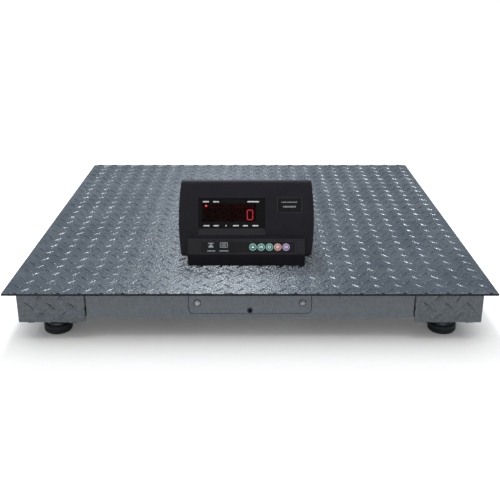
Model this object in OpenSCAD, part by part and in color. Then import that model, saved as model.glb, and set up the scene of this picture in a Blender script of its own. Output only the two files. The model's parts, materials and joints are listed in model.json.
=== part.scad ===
// Pallet scale: a tread-plate platform that stands on four shear-beam load cells with levelling
// feet, and a desk indicator that stands on the deck. Millimetres, +Z up. The origin is on the
// floor under the middle of the deck, and the front of the scale faces -Y.

/* [Platform] */
// Side of the square deck plate
deck_side = 1000; // [960:10:1200]
// Floor to the flat of the deck plate, with the feet screwed in
deck_height = 123; // [120:1:126]
// Thickness of the deck plate and of the corner plates
plate_t = 5; // [4:0.5:6]
// Height of the raised tread, on which the indicator stands
tread_h = 1.5; // [1:0.1:2]
// Deck edge beyond the corner plates
deck_overhang = 22; // [15:1:30]
// Width of each face of a corner pocket
corner_w = 138; // [138:1:160]
// Deck top to the bottom edge of the corner plates
corner_drop = 75; // [74:1:78]
// Deck top to the bottom flange of the side channels
rail_drop = 68; // [66:1:70]
// Width of the channel flanges
rail_flange = 40; // [36:1:44]
// Number of stiffening ribs under the deck
rib_count = 4; // [2:2:4]

/* [Load cells and feet] */
// Foot centre from the outer faces of its pocket
foot_inset = 64; // [62:1:68]
// Radius of the levelling stud, an M12 thread
stud_r = 6; // [5:0.5:6]
// Diameter of the rubber pad
pad_d = 60; // [56:1:66]
// Height of the rubber pad
pad_h = 20; // [18:1:20]
// Diameter of the loose steel ball between the stud and the pad
ball_d = 16; // [14:1:16]

/* [Indicator] */
// Width of the housing at its waist
ind_w = 297; // [290:1:305]
// Height of the housing, rubber feet included
ind_h = 171; // [168:1:176]
// Depth from the key bar's lip to the rear wall
ind_depth = 150; // [146:1:156]
// Width of the key bar and of the base
bar_w = 253; // [245:1:258]
// Lean of the front face, from upright
face_tilt = 22; // [20:1:24]
// Diameter of the round keys
key_d = 16; // [14:0.5:16]
// Centre distance of the keys
key_pitch = 17.9; // [17.6:0.1:18.4]
// Indicator's middle, left (-) or right (+) of the deck's middle
ind_x = -8; // [-100:1:100]
// Key bar's lip behind the deck's front edge
ind_setback = 135; // [100:1:500]

/* [Hidden] */

$fn = 48;
eps = 0.01;
far = 400;               // longer than anything that it cuts

steel_grey = [0.40, 0.43, 0.46];
bare_steel = [0.75, 0.75, 0.76];
black_abs = [0.14, 0.13, 0.15];
rubber_black = [0.05, 0.05, 0.06];

deck_bottom = deck_height - plate_t;
corner_bottom = deck_height - corner_drop;
rail_bottom = deck_height - rail_drop;
box_face = deck_side / 2 - deck_overhang;       // outer faces of the corner plates
rail_recess = 5;                                // channel webs sit this far behind them
rail_face = box_face - rail_recess;
rail_web = 4.8;
rail_lip = 7;                                   // flange thickness
rail_gap = 3;                                   // between a channel's end and a corner plate
rail_l = 2 * (box_face - corner_w - rail_gap);
wall_t = 4;
pocket_wall_l = 92;

rib_w = 60;
rib_h = 50;
rib_t = 3;
rib_l = 2 * (rail_face - rail_flange - 35);
rib_pitch = 160;

thread_gap = 0.05;                              // radial, between a stud and its nut

// Shear-beam load cell, lengths along the beam from its loading hole
cell_w = 31.8;
cell_front = 16.1;
cell_hole_1 = 76.2;
cell_hole_2 = 101.6;
cell_back = 117.3;
cell_bolt_r = 6;
mount_plate_t = 15;
cell_top = deck_bottom - mount_plate_t;
cell_bottom = cell_top - cell_w;
cell_mid = cell_top - cell_w / 2;
cell_gland_l = 10;

nut_h = 10;
nut_af = 19;
bolt_head_h = 7.5;
washer_t = 2.5;

ball_r = ball_d / 2;
ball_gap = 0.3;
ball_z = pad_h + 1;
seat_r = 22;

// Junction box behind the middle of the front channel
cover_w = 250;
cover_drop = 55;                                // deck top to the cover's bottom edge
cover_t = 2;
cover_screw_x = 108;
cover_screw_z = deck_height - 32;
outlet_z = deck_height - 49;                    // the signal cable's way out
outlet_r = 3;
outlet_seat_r = 4.8;
tray_w = 224;
tray_y = rail_face - rail_web;                  // inner face of the web
tray_depth = 64;
tray_t = 1.5;
tray_z = rail_bottom + rail_lip + 0.2;
tray_h = 42;
board_z = cell_mid - 8;

lead_r = 2.5;
lead_bend = 15;
lead_pitch = 13;                                // spacing of the two leads of one side
lead_x = 290;
lead_y = rail_face - rail_flange - 9;

// Indicator: heights from the tread, lengths back from the key bar's lip
ind_z = deck_height + tread_h;
ind_y = -deck_side / 2 + ind_setback;
shell_t = 2.5;
ind_foot_h = 3;
floor_in = ind_foot_h + shell_t;                // inner face of the housing's floor
lip_top = 29.5;
key_face_l = 34.5;
key_face_angle = 55;
bar_top = lip_top + key_face_l * sin(key_face_angle);
bar_edge = key_face_l * cos(key_face_angle);
cheek_y = 27.4;                                 // lower front edge of the housing's cheeks
cheek_z = 13.5;
split_back = 40;                                // parting plane behind the front face
face_l = (ind_h - cheek_z) / cos(face_tilt);
waist_bulge = 6;                                // the sides bow out by this much

window_x = -31.8;
window_w = 147;
window_low = 62.4;
window_high = 129;
window_sunk = 4;
window_t = 2;
bay_block = 9;
digit_pitch = 19.8;
digit_last_x = 7.9;
digit_s = 92.5;
digit_front = -6.5;
board_n = -20;

key_x = 14.2;
key_s = 16.5;
key_proud = 1;
key_travel = 0.8;
key_gap = 0.3;
overlay_sunk = 1;
overlay_t = 0.8;
overlay_x = 3;
overlay_w = 210;
overlay_low = 1.5;
overlay_high = 31.5;

screw_x = 120;
screw_z = [30, 132];
screw_head_y = 138;
screw_bite = 9;                                 // length of each screw in the front shell

rocker_x = 100;
rocker_z = 95;
rocker_r = 9.2;
rocker_pin_r = 1.5;
door_x = -56;
door_w = 110;
door_z = 6;
door_h = 76;
socket_x = [22, 62];
socket_z = 95;
gland_x = 100;
gland_z = 55;
gland_r = 7;
gland_bore_r = 3.25;

// ---- Outlines ----------------------------------------------------------------------------

function unit(v) = v / norm(v);
function inward(a, b) = let (d = unit(b - a)) [-d.y, d.x];

// A convex outline, counter-clockwise, moved in by t all round
function inset(p, t) = let (n = len(p)) [
    for (i = [0 : n - 1])
        let (u = inward(p[(i + n - 1) % n], p[i]), v = inward(p[i], p[(i + 1) % n]))
            p[i] + t * (u + v) / (1 + u * v)
];

// An arc of radius r and k chords in place of the corner p, between the points before and after
function arc_at(before, p, after, r, k) = let (
    u = unit(before - p),
    v = unit(after - p),
    half = acos(u * v) / 2,
    c = p + unit(u + v) * r / sin(half),
    from = p + u * r / tan(half) - c,
    to = p + v * r / tan(half) - c,
    a0 = atan2(from.y, from.x),
    turn = (atan2(to.y, to.x) - a0 + 540) % 360 - 180
) [for (j = [0 : k]) c + r * [cos(a0 + turn * j / k), sin(a0 + turn * j / k)]];

// A closed outline with each corner i rounded to radius r[i]
function fillet(p, r, k = 5) = let (n = len(p)) [
    for (i = [0 : n - 1]) each arc_at(p[(i + n - 1) % n], p[i], p[(i + 1) % n], r[i], k)
];

// An open route with all its corners rounded to radius r
function rounded_route(p, r, k = 6) = let (n = len(p)) [
    p[0],
    for (i = [1 : n - 2]) each arc_at(p[i - 1], p[i], p[i + 1], r, k),
    p[n - 1]
];

// ---- Placing -----------------------------------------------------------------------------

// Children are drawn for the front left corner, from the outer corner of its pocket inwards
module at_corner(right, rear) {
    mirror([right ? 1 : 0, 0, 0])
        mirror([0, rear ? 1 : 0, 0])
            translate([-box_face, -box_face, 0])
                children();
}

module at_each_corner() {
    for (right = [false, true])
        for (rear = [false, true])
            at_corner(right, rear) children();
}

module at_foot() {
    translate([foot_inset, foot_inset, 0]) children();
}

// X runs along the load cell, from the foot towards the middle of the platform
module at_cell() {
    at_foot() rotate([0, 0, 45]) children();
}

module at_indicator() {
    translate([ind_x, ind_y, ind_z]) children();
}

// X across, Y up the indicator's front face, Z out of it
module on_face() {
    translate([0, cheek_y, cheek_z]) rotate([90 - face_tilt, 0, 0]) children();
}

// X across, Y up the key bar's sloping face, Z out of it
module on_keys() {
    translate([0, 0, lip_top]) rotate([key_face_angle, 0, 0]) children();
}

module hex(af, h) {
    cylinder(r = af / sqrt(3), h = h, $fn = 6);
}

module box_at(low, high) {
    translate(low) cube(high - low);
}

// An outline in (Y, Z) drawn out along X, in the middle
module across(outline, width) {
    translate([-width / 2, 0, 0])
        rotate([90, 0, 90])
            linear_extrude(height = width) polygon(outline);
}

// ---- Platform ----------------------------------------------------------------------------

module deck_plate() {
    color(steel_grey)
        box_at([-deck_side / 2, -deck_side / 2, deck_bottom], [deck_side / 2, deck_side / 2, deck_height]);
}

// A channel along X, its web facing -Y and its flanges pointing inwards
module channel() {
    h = deck_bottom - rail_bottom;
    difference() {
        box_at([-rail_l / 2, -rail_face, rail_bottom], [rail_l / 2, -rail_face + rail_flange, deck_bottom]);
        box_at(
            [-rail_l / 2 - 1, -rail_face + rail_web, rail_bottom + rail_lip],
            [rail_l / 2 + 1, -rail_face + rail_flange + 1, rail_bottom + h - rail_lip]
        );
    }
}

module hole_through_web(x, z, r) {
    translate([x, -rail_face - cover_t - 1, z])
        rotate([-90, 0, 0])
            cylinder(r = r, h = rail_web + cover_t + 2);
}

module front_rail() {
    color(steel_grey)
        difference() {
            channel();
            // Way in to the junction box, behind the cover
            box_at([-92, -rail_face - 1, outlet_z + 8], [92, -rail_face + rail_web + 1, deck_bottom - rail_lip - 3]);
            for (side = [-1, 1]) hole_through_web(side * cover_screw_x, cover_screw_z, 2.15);
            hole_through_web(0, outlet_z, outlet_seat_r);
        }
}

module plain_rail(turn) {
    color(steel_grey) rotate([0, 0, turn]) channel();
}

module corner_plate(right, rear) {
    color(steel_grey)
        at_corner(right, rear)
            union() {
                box_at([0, 0, corner_bottom], [corner_w, plate_t, deck_bottom]);
                box_at([0, plate_t, corner_bottom], [plate_t, corner_w, deck_bottom]);
            }
}

// Two inner walls to a pocket, open at the corner that the load cell passes through
module pocket_walls() {
    low = rail_bottom;
    color(steel_grey)
        at_each_corner() {
            box_at([corner_w - wall_t, plate_t, low], [corner_w, plate_t + pocket_wall_l, deck_bottom]);
            box_at([plate_t, corner_w - wall_t, low], [plate_t + pocket_wall_l, corner_w, deck_bottom]);
        }
}

module deck_rib(x) {
    translate([x, 0, deck_bottom - rib_h])
        difference() {
            box_at([-rib_w / 2, -rib_l / 2, 0], [rib_w / 2, rib_l / 2, rib_h]);
            box_at([-rib_w / 2 + rib_t, -rib_l / 2 - 1, rib_t], [rib_w / 2 - rib_t, rib_l / 2 + 1, rib_h + 1]);
        }
}

module deck_ribs() {
    color(steel_grey)
        for (i = [0 : rib_count - 1]) deck_rib((i - (rib_count - 1) / 2) * rib_pitch);
}

// ---- Load cells --------------------------------------------------------------------------

module cell_mount_plates() {
    color(steel_grey)
        at_each_corner()
            at_cell()
                difference() {
                    box_at([62, -25, cell_top], [cell_back - 1, 25, deck_bottom]);
                    for (x = [cell_hole_1, cell_hole_2])
                        translate([x, 0, cell_top - 1])
                            cylinder(r = cell_bolt_r + thread_gap, h = mount_plate_t + 2);
                }
}

module load_cell(right, rear) {
    gauge_x = (cell_front + cell_hole_1) / 2 - 8;
    color(bare_steel)
        at_corner(right, rear)
            at_cell() {
                difference() {
                    box_at([-cell_front, -cell_w / 2, cell_bottom], [cell_back, cell_w / 2, cell_top]);
                    translate([0, 0, cell_bottom - 1])
                        cylinder(r = stud_r + thread_gap, h = cell_w + 2);
                    for (x = [cell_hole_1, cell_hole_2])
                        translate([x, 0, cell_bottom - 1])
                            cylinder(r = cell_bolt_r + 0.6, h = cell_w + 2);
                    // The two round wells of the strain gauges
                    for (side = [-1, 1])
                        translate([gauge_x, side * (cell_w / 2 + 1), cell_mid])
                            rotate([side * 90, 0, 0])
                                cylinder(r = 12, h = 4);
                }
                translate([cell_back, 0, cell_mid])
                    rotate([0, 90, 0])
                        cylinder(r = 4.5, h = cell_gland_l);
            }
}

module load_cell_bolts() {
    color(bare_steel)
        at_each_corner()
            at_cell()
                for (x = [cell_hole_1, cell_hole_2])
                    translate([x, 0, cell_bottom - washer_t - bolt_head_h]) {
                        hex(nut_af, bolt_head_h);
                        translate([0, 0, bolt_head_h]) cylinder(r = 12, h = washer_t);
                        cylinder(r = cell_bolt_r, h = bolt_head_h + washer_t + cell_w + mount_plate_t - 3);
                    }
}

// A round lead that runs level along a route of (X, Y) points
module lead(corners) {
    p = rounded_route(corners, lead_bend);
    n = len(p);
    sides = 10;
    rings = [
        for (i = [0 : n - 1])
            let (t = unit(p[min(i + 1, n - 1)] - p[max(i - 1, 0)]))
                for (j = [0 : sides - 1])
                    let (a = 360 * j / sides)
                        [p[i].x - t.y * lead_r * cos(a), p[i].y + t.x * lead_r * cos(a), lead_r * sin(a)]
    ];
    walls = [
        for (i = [0 : n - 2])
            for (j = [0 : sides - 1])
                let (k = (j + 1) % sides)
                    [i * sides + k, i * sides + j, (i + 1) * sides + j, (i + 1) * sides + k]
    ];
    ends = [[for (j = [0 : sides - 1]) j], [for (j = [sides - 1 : -1 : 0]) (n - 1) * sides + j]];
    translate([0, 0, cell_mid]) polyhedron(rings, concat(walls, ends));
}

// Each lead leaves its cell's gland, runs beside the ribs and enters the junction box
module load_cell_leads() {
    out = box_face - foot_inset - (cell_back + cell_gland_l) / sqrt(2);
    near_x = lead_x - lead_pitch;
    near_y = lead_y - lead_pitch;
    end_x = tray_w / 2 - 31;
    color(rubber_black)
        for (side = [0, 1])
            mirror([side, 0, 0]) {
                lead([[-out, out], [-near_x, near_x], [-near_x, -near_y], [-end_x, -near_y]]);
                lead([[-out, -out], [-lead_x, -lead_x], [-lead_x, -lead_y], [-end_x, -lead_y]]);
            }
}

// ---- Junction box ------------------------------------------------------------------------

module junction_cover() {
    low = deck_height - cover_drop;
    high = deck_bottom - 0.5;
    w = cover_w / 2;
    color(steel_grey)
        difference() {
            translate([0, -rail_face, 0])
                rotate([90, 0, 0])
                    linear_extrude(height = cover_t)
                        polygon(fillet([[-w, low], [w, low], [w, high], [-w, high]], [8, 8, 1, 1]));
            for (side = [-1, 1]) hole_through_web(side * cover_screw_x, cover_screw_z, 2.75);
            hole_through_web(0, outlet_z, outlet_seat_r);
        }
}

module junction_cover_screws() {
    head_r = 4.8;
    head_h = 2.8;
    color(bare_steel)
        for (side = [-1, 1])
            translate([side * cover_screw_x, -rail_face - cover_t, cover_screw_z])
                rotate([90, 0, 0])
                    difference() {
                        union() {
                            cylinder(r = 5.5, h = 1);
                            translate([0, 0, 1]) cylinder(r1 = head_r, r2 = head_r - 1.4, h = head_h - 1);
                            translate([0, 0, -12]) cylinder(r = 2.1, h = 12 + eps);
                        }
                        for (turn = [20, 110])
                            rotate([0, 0, turn])
                                box_at([-2.6, -0.45, head_h - 1.4], [2.6, 0.45, head_h + 1]);
                    }
}

module cable_grommet() {
    inside = rail_web + cover_t;
    color(rubber_black)
        translate([0, -rail_face - cover_t, outlet_z])
            rotate([90, 0, 0])
                difference() {
                    union() {
                        cylinder(r = 5.6, h = 1.6);
                        translate([0, 0, -inside]) cylinder(r = outlet_seat_r, h = inside);
                        translate([0, 0, -inside - 1.6]) cylinder(r = 5.6, h = 1.6);
                    }
                    translate([0, 0, -inside - 3]) cylinder(r = outlet_r, h = inside + 6);
                }
}

module junction_tray() {
    w = tray_w / 2;
    y0 = -tray_y + 2;
    y1 = -tray_y + tray_depth;
    color([0.7, 0.72, 0.73])
        difference() {
            box_at([-w, y0, tray_z], [w, y1, tray_z + tray_h]);
            box_at([-w + tray_t, y0 - 1, tray_z + tray_t], [w - tray_t, y1 - tray_t, tray_z + tray_h + 1]);
            for (y = [lead_y, lead_y - lead_pitch])
                translate([-w - 5, -y, cell_mid])
                    rotate([0, 90, 0])
                        cylinder(r = 4.4, h = tray_w + 10);
        }
}

module lead_grommets() {
    color(rubber_black)
        for (side = [0, 1])
            mirror([side, 0, 0])
                for (y = [lead_y, lead_y - lead_pitch])
                    translate([-tray_w / 2 - 1.2, -y, cell_mid])
                        rotate([0, 90, 0])
                            difference() {
                                union() {
                                    cylinder(r = 5.8, h = 1.2);
                                    translate([0, 0, 1.2 - eps]) cylinder(r = 4.35, h = 4);
                                }
                                translate([0, 0, -1]) cylinder(r = lead_r + 0.05, h = 8);
                            }
}

// Board with screw terminals for the four cells and the signal cable, and a trimmer for each cell
module junction_board() {
    y0 = -tray_y + 14;
    top = board_z + 1.6;
    color([0.05, 0.32, 0.16])
        union() {
            box_at([-78, y0, board_z], [78, y0 + 44, top]);
            for (x = [-72, 72])
                for (y = [y0 + 5, y0 + 39])
                    translate([x, y, tray_z + tray_t])
                        cylinder(r = 3, h = board_z - tray_z - tray_t + eps);
            for (i = [-2 : 2])
                difference() {
                    box_at([i * 29 - 11, y0 + 28, top - eps], [i * 29 + 11, y0 + 38, top + 11]);
                    for (k = [-1.5 : 1.5])
                        translate([i * 29 + k * 5, y0 + 33, top + 8])
                            cylinder(r = 1.6, h = 4);
                }
            for (i = [-1.5 : 1.5])
                translate([i * 29, y0 + 12, top - eps])
                    difference() {
                        box_at([-5, -3, 0], [5, 3, 9]);
                        box_at([-2, -0.4, 8], [2, 0.4, 10]);
                    }
        }
}

// ---- Levelling feet ----------------------------------------------------------------------

module foot_pad(right, rear) {
    r = pad_d / 2;
    color(rubber_black)
        at_corner(right, rear)
            at_foot()
                rotate_extrude($fn = 64)
                    polygon([
                        [0, 0], [r - 7, 0], [r - 3, 1.2], [r - 0.8, 4], [r, 7], [r, 9], [r - 1.2, 10],
                        [r - 1.2, 11.5], [r, 12.5], [r - 0.4, pad_h - 2], [r - 2.2, pad_h],
                        [seat_r + 0.1, pad_h], [seat_r + 0.1, pad_h - 9], [0, pad_h - 9]
                    ]);
}

module foot_seat(right, rear) {
    floor_z = pad_h - 9;
    color(bare_steel)
        at_corner(right, rear)
            at_foot()
                difference() {
                    rotate_extrude($fn = 64)
                        polygon([
                            [0, floor_z], [seat_r, floor_z], [seat_r, pad_h + 1], [seat_r - 2.5, pad_h + 1],
                            [seat_r - 4, floor_z + 4], [13, floor_z + 4], [12, pad_h - 2], [0, pad_h - 2]
                        ]);
                    translate([0, 0, ball_z]) sphere(r = ball_r + ball_gap);
                }
}

module foot_ball(right, rear) {
    color(bare_steel)
        at_corner(right, rear)
            at_foot()
                translate([0, 0, ball_z])
                    sphere(r = ball_r);
}

// M12 stud with a cup for the ball, a neck and a hexagon that stops against the lock nut
module foot_stud(right, rear) {
    cup_low = ball_z + 2;
    nut_low = cell_bottom - nut_h;
    hex_h = 12;
    color(bare_steel)
        at_corner(right, rear)
            at_foot()
                difference() {
                    union() {
                        translate([0, 0, cup_low]) cylinder(r = 10.5, h = 10);
                        translate([0, 0, cup_low + 9]) cylinder(r = 8, h = nut_low - hex_h - cup_low - 9);
                        translate([0, 0, nut_low - 0.3 - hex_h]) hex(nut_af, hex_h);
                        translate([0, 0, nut_low - 1]) cylinder(r = stud_r, h = nut_h + cell_w - 6);
                    }
                    translate([0, 0, ball_z]) sphere(r = ball_r + ball_gap);
                }
}

module foot_lock_nuts() {
    color(bare_steel)
        at_each_corner()
            at_foot()
                translate([0, 0, cell_bottom - nut_h])
                    difference() {
                        hex(nut_af, nut_h);
                        translate([0, 0, -1]) cylinder(r = stud_r + thread_gap, h = nut_h + 2);
                    }
}

// ---- Indicator housing -------------------------------------------------------------------

// Side view of the housing, and of the key bar that stands in front of it: (Y, Z) points
roof_drop = 20;
housing_side = [
    [cheek_y, cheek_z], [ind_depth, cheek_z], [ind_depth, ind_h - roof_drop],
    [cheek_y + face_l * sin(face_tilt), ind_h]
];
bar_side = [[0, ind_foot_h], [72, ind_foot_h], [72, bar_top], [bar_edge, bar_top], [0, lip_top]];
base_side = [[50, ind_foot_h], [ind_depth, ind_foot_h], [ind_depth, 30], [50, 30]];

// Front view of the housing, (X, Z) points: both sides bow out on one arc
bow_steps = 10;
bow_z = (cheek_z + ind_h) / 2;
bow_half = (ind_h - cheek_z) / 2;
bow_r = (bow_half * bow_half + waist_bulge * waist_bulge) / (2 * waist_bulge);
function bow(z) = ind_w / 2 - bow_r + sqrt(bow_r * bow_r - (z - bow_z) * (z - bow_z));
bow_zs = [for (i = [0 : bow_steps]) cheek_z + (ind_h - cheek_z) * i / bow_steps];
housing_front = concat(
    [for (z = bow_zs) [bow(z), z]],
    [for (i = [bow_steps : -1 : 0]) [-bow(bow_zs[i]), bow_zs[i]]]
);
corner_rs = [
    for (i = [0 : 2 * bow_steps + 1])
        i == 0 || i == 2 * bow_steps + 1 ? 9 : i == bow_steps || i == bow_steps + 1 ? 7 : 0.5
];

module housing(side, front) {
    intersection() {
        across(side, ind_w + 10);
        translate([0, far / 2, 0])
            rotate([90, 0, 0])
                linear_extrude(height = far) polygon(front);
    }
}

module housing_outside() {
    union() {
        housing(fillet(housing_side, [4, 4, 14, 9]), fillet(housing_front, corner_rs, 3));
        across(fillet(bar_side, [2, 1, 1, 2.5, 4]), bar_w);
        across(base_side, bar_w);
    }
}

module housing_inside() {
    t = shell_t;
    union() {
        housing(inset(housing_side, t), inset(housing_front, t));
        across(inset(bar_side, t), bar_w - 2 * t);
        across(inset(base_side, t), bar_w - 2 * t);
    }
}

// Everything in front of the parting plane, or with back true everything behind it
module front_half(back = false) {
    y0 = cheek_y + split_back - (cheek_z + 50) * tan(face_tilt);
    y1 = y0 + 300 * tan(face_tilt);
    edge = back ? far : -far;
    outline = [[y0, -50], [y1, 250], [edge, 250], [edge, -50]];
    across(outline, far);
}

module along_y(x, z, y0, y1, r) {
    translate([x, y0, z]) rotate([-90, 0, 0]) cylinder(r = r, h = y1 - y0);
}

function parting_y(z) = cheek_y + split_back + (z - cheek_z) * tan(face_tilt);

// At each of the four screws, a cylinder from the parting plane, or from y0, to y1
module at_screws(r, y1, y0 = undef) {
    for (x = [-screw_x, screw_x])
        for (z = screw_z)
            along_y(x, z, is_undef(y0) ? parting_y(z) - screw_bite - 1 : y0, y1, r);
}

// The shell's wall, with tubes inside it for the four long screws
module shell_with_bosses(back) {
    intersection() {
        union() {
            difference() {
                housing_outside();
                housing_inside();
            }
            intersection() {
                at_screws(5, ind_depth, cheek_y);
                housing_outside();
            }
        }
        front_half(back);
    }
}

module key_row() {
    for (i = [0 : 4]) translate([key_x + i * key_pitch, key_s, 0]) children();
}

module window_prism(low, high, margin) {
    box_at(
        [window_x - window_w / 2 - margin, window_low - margin, low],
        [window_x + window_w / 2 + margin, window_high + margin, high]
    );
}

// The sunken bay in front of the window, with a ramp from its lower edge to the key bar
module window_bay() {
    foot_s = (bar_top - cheek_z) / cos(face_tilt);
    slope = (window_low - foot_s) / window_sunk;
    translate([window_x, 0, 0])
        rotate([90, 0, 90])
            translate([0, 0, -window_w / 2])
                linear_extrude(height = window_w)
                    polygon([
                        [window_high, 1], [foot_s - slope, 1],
                        [window_low, -window_sunk], [window_high, -window_sunk]
                    ]);
}

module indicator_front_shell() {
    color(black_abs)
        at_indicator()
            difference() {
                union() {
                    shell_with_bosses(false);
                    // Thicker wall round the display window
                    intersection() {
                        housing_outside();
                        on_face()
                            box_at(
                                [window_x - window_w / 2 - 4, window_low - 18, -bay_block],
                                [window_x + window_w / 2 + 4, window_high + 4, -1]
                            );
                    }
                }
                on_face() {
                    window_bay();
                    window_prism(-window_sunk - window_t, 1, 0);
                    window_prism(-bay_block - 1, 1, -4);
                    // Shallow panel for a rating label
                    box_at([67, 96, -0.6], [123, 131, 1]);
                }
                on_keys() {
                    box_at(
                        [overlay_x - overlay_w / 2, overlay_low, -overlay_sunk],
                        [overlay_x + overlay_w / 2, overlay_high, 1]
                    );
                    key_row() translate([0, 0, -5]) cylinder(r = key_d / 2 + key_gap, h = 8);
                }
                at_screws(1.5, ind_depth);
            }
}

module indicator_rear_shell() {
    wall_y = ind_depth - shell_t;
    color(black_abs)
        at_indicator()
            difference() {
                union() {
                    shell_with_bosses(true);
                    // Collar for the power cord
                    along_y(gland_x, gland_z, wall_y - 6, wall_y + eps, gland_r + 3);
                    // Cheeks that carry the rocker's pivot
                    for (side = [-1, 1])
                        translate([rocker_x + side * 8.6 - 1, wall_y - 12, rocker_z - 8])
                            cube([2, 12 + eps, 16]);
                }
                at_screws(1.7, ind_depth);
                at_screws(3.4, ind_depth + 1, screw_head_y - 2.2);
                box_at(
                    [door_x - door_w / 2 - 0.3, wall_y - 1, door_z - 0.3],
                    [door_x + door_w / 2 + 0.3, ind_depth + 1, door_z + door_h + 0.3]
                );
                box_at(
                    [rocker_x - 6.9, wall_y - 1, rocker_z - rocker_r - 0.4],
                    [rocker_x + 6.9, ind_depth + 1, rocker_z + rocker_r + 0.4]
                );
                translate([rocker_x - 12, wall_y - 4, rocker_z])
                    rotate([0, 90, 0])
                        cylinder(r = rocker_pin_r + 0.05, h = 24);
                for (x = socket_x)
                    box_at([x - 10, wall_y - 1, socket_z - 6], [x + 10, ind_depth + 1, socket_z + 6]);
                along_y(gland_x, gland_z, wall_y - 10, ind_depth + 1, gland_bore_r);
            }
}

module indicator_feet() {
    color(rubber_black)
        at_indicator()
            for (x = [-105, 105])
                for (y = [20, ind_depth - 18])
                    translate([x, y, 0])
                        cylinder(r1 = 6.5, r2 = 7.5, h = ind_foot_h);
}

module housing_screws() {
    color(bare_steel)
        at_indicator()
            for (x = [-screw_x, screw_x])
                for (z = screw_z)
                    difference() {
                        union() {
                            along_y(x, z, screw_head_y - 2.1, screw_head_y, 3);
                            along_y(x, z, parting_y(z) - screw_bite, screw_head_y - 2, 1.4);
                        }
                        for (turn = [0, 90])
                            translate([x, screw_head_y, z])
                                rotate([0, turn, 0])
                                    cube([3.6, 2, 0.7], center = true);
                    }
}

// ---- Indicator's display and keys --------------------------------------------------------

module display_window() {
    gap = 0.2;
    color([0.25, 0.02, 0.03, 0.6])
        at_indicator() on_face() window_prism(-window_sunk - window_t, -window_sunk, -gap);
}

module main_board() {
    color([0.05, 0.3, 0.15])
        at_indicator()
            on_face()
                union() {
                    box_at([window_x - 72, 58, board_n], [window_x + 72, 132, board_n + 1.6]);
                    for (x = [-48, -20, 12])
                        box_at([x - 7, 66, board_n - 3], [x + 7, 76, board_n + 0.1]);
                }
}

module digit_modules() {
    w = digit_pitch - 0.4;
    color([0.1, 0.1, 0.1])
        at_indicator()
            on_face()
                for (i = [0 : 5])
                    translate([digit_last_x - i * digit_pitch, digit_s, board_n + 1.6])
                        box_at([-w / 2, -15, 0], [w / 2, 15, digit_front - board_n - 1.6]);
}

module key_board() {
    color([0.05, 0.3, 0.15])
        at_indicator()
            on_keys()
                union() {
                    box_at([2, 4, -8.5], [98, 29, -6.9]);
                    key_row() translate([0, 0, -6.9 - eps]) cylinder(r1 = 4.5, r2 = 3, h = 0.8);
                }
}

module key_overlay() {
    color([0.2, 0.2, 0.22])
        at_indicator()
            on_keys()
                difference() {
                    box_at(
                        [overlay_x - overlay_w / 2 + 0.2, overlay_low + 0.2, -overlay_sunk],
                        [overlay_x + overlay_w / 2 - 0.2, overlay_high - 0.2, overlay_t - overlay_sunk]
                    );
                    key_row() translate([0, 0, -2]) cylinder(r = key_d / 2 + key_gap, h = 4);
                }
}

module key(i) {
    tone = i < 3 ? [0.36, 0.6, 0.54] : i == 3 ? [0.66, 0.38, 0.3] : [0.52, 0.36, 0.62];
    inner = -shell_t - key_gap;
    color(tone)
        at_indicator()
            on_keys()
                translate([key_x + i * key_pitch, key_s, 0]) {
                    translate([0, 0, inner - 1]) cylinder(r = key_d / 2, h = key_proud - inner + 1);
                    translate([0, 0, inner - 1]) cylinder(r = min(key_d, key_pitch - 1.2) / 2 + 0.6, h = 1);
                    translate([0, 0, inner - 2.2]) cylinder(r = 2.5, h = 1.4);
                }
}

// ---- Indicator's rear and inside ---------------------------------------------------------

module rear_sockets() {
    y = ind_depth;
    color(bare_steel)
        at_indicator()
            for (x = socket_x)
                union() {
                    box_at([x - 15.4, y, socket_z - 6.2], [x + 15.4, y + 0.8, socket_z + 6.2]);
                    box_at([x - 9.8, y - 10, socket_z - 5.8], [x + 9.8, y + eps, socket_z + 5.8]);
                    translate([x, y + 0.8 - eps, socket_z])
                        rotate([-90, 0, 0])
                            linear_extrude(height = 5.4)
                                polygon([[-8.3, -4], [8.3, -4], [7.4, 4], [-7.4, 4]]);
                    for (side = [-1, 1])
                        translate([x + side * 12.5, y + 0.8 - eps, socket_z])
                            rotate([-90, 0, 0])
                                hex(5, 5);
                }
}

// A rocker that is part of a roller, with two faces that lean apart by twice its lean
module power_rocker() {
    lean = 9;
    pivot_y = ind_depth - shell_t - 4;
    color([0.1, 0.1, 0.1])
        at_indicator()
            translate([rocker_x, pivot_y, rocker_z])
                rotate([-lean, 0, 0])
                    union() {
                        difference() {
                            translate([-6.2, 0, 0]) rotate([0, 90, 0]) cylinder(r = rocker_r, h = 12.4);
                            for (side = [-1, 1])
                                rotate([side * lean, 0, 0])
                                    translate([-10, 6.8, side > 0 ? -1 : -19])
                                        cube([20, 10, 20]);
                            box_at([-7, -12, -12], [7, -4, 12]);
                        }
                        translate([-9.4, 0, 0]) rotate([0, 90, 0]) cylinder(r = rocker_pin_r, h = 18.8);
                    }
}

module battery() {
    color([0.16, 0.16, 0.17])
        at_indicator()
            union() {
                box_at([door_x - 50, 99, floor_in], [door_x + 50, 145, floor_in + 70]);
                // Its two terminals
                for (side = [-1, 1])
                    translate([door_x + 50 - eps, 122 + side * 14, floor_in + 35])
                        box_at([0, -2.4, -0.4], [6.3, 2.4, 0.4]);
            }
}

module transformer() {
    color([0.45, 0.46, 0.48])
        at_indicator()
            translate([56, 115, floor_in])
                difference() {
                    union() {
                        box_at([-25, -21, 0], [25, 21, 40]);
                        box_at([-20, -27, 6], [20, 27, 34]);
                        box_at([-36, -12, 0], [36, 12, 2]);
                    }
                    for (side = [-1, 1])
                        translate([side * 30.5, 0, -1]) cylinder(r = 2.2, h = 4);
                }
}

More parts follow.
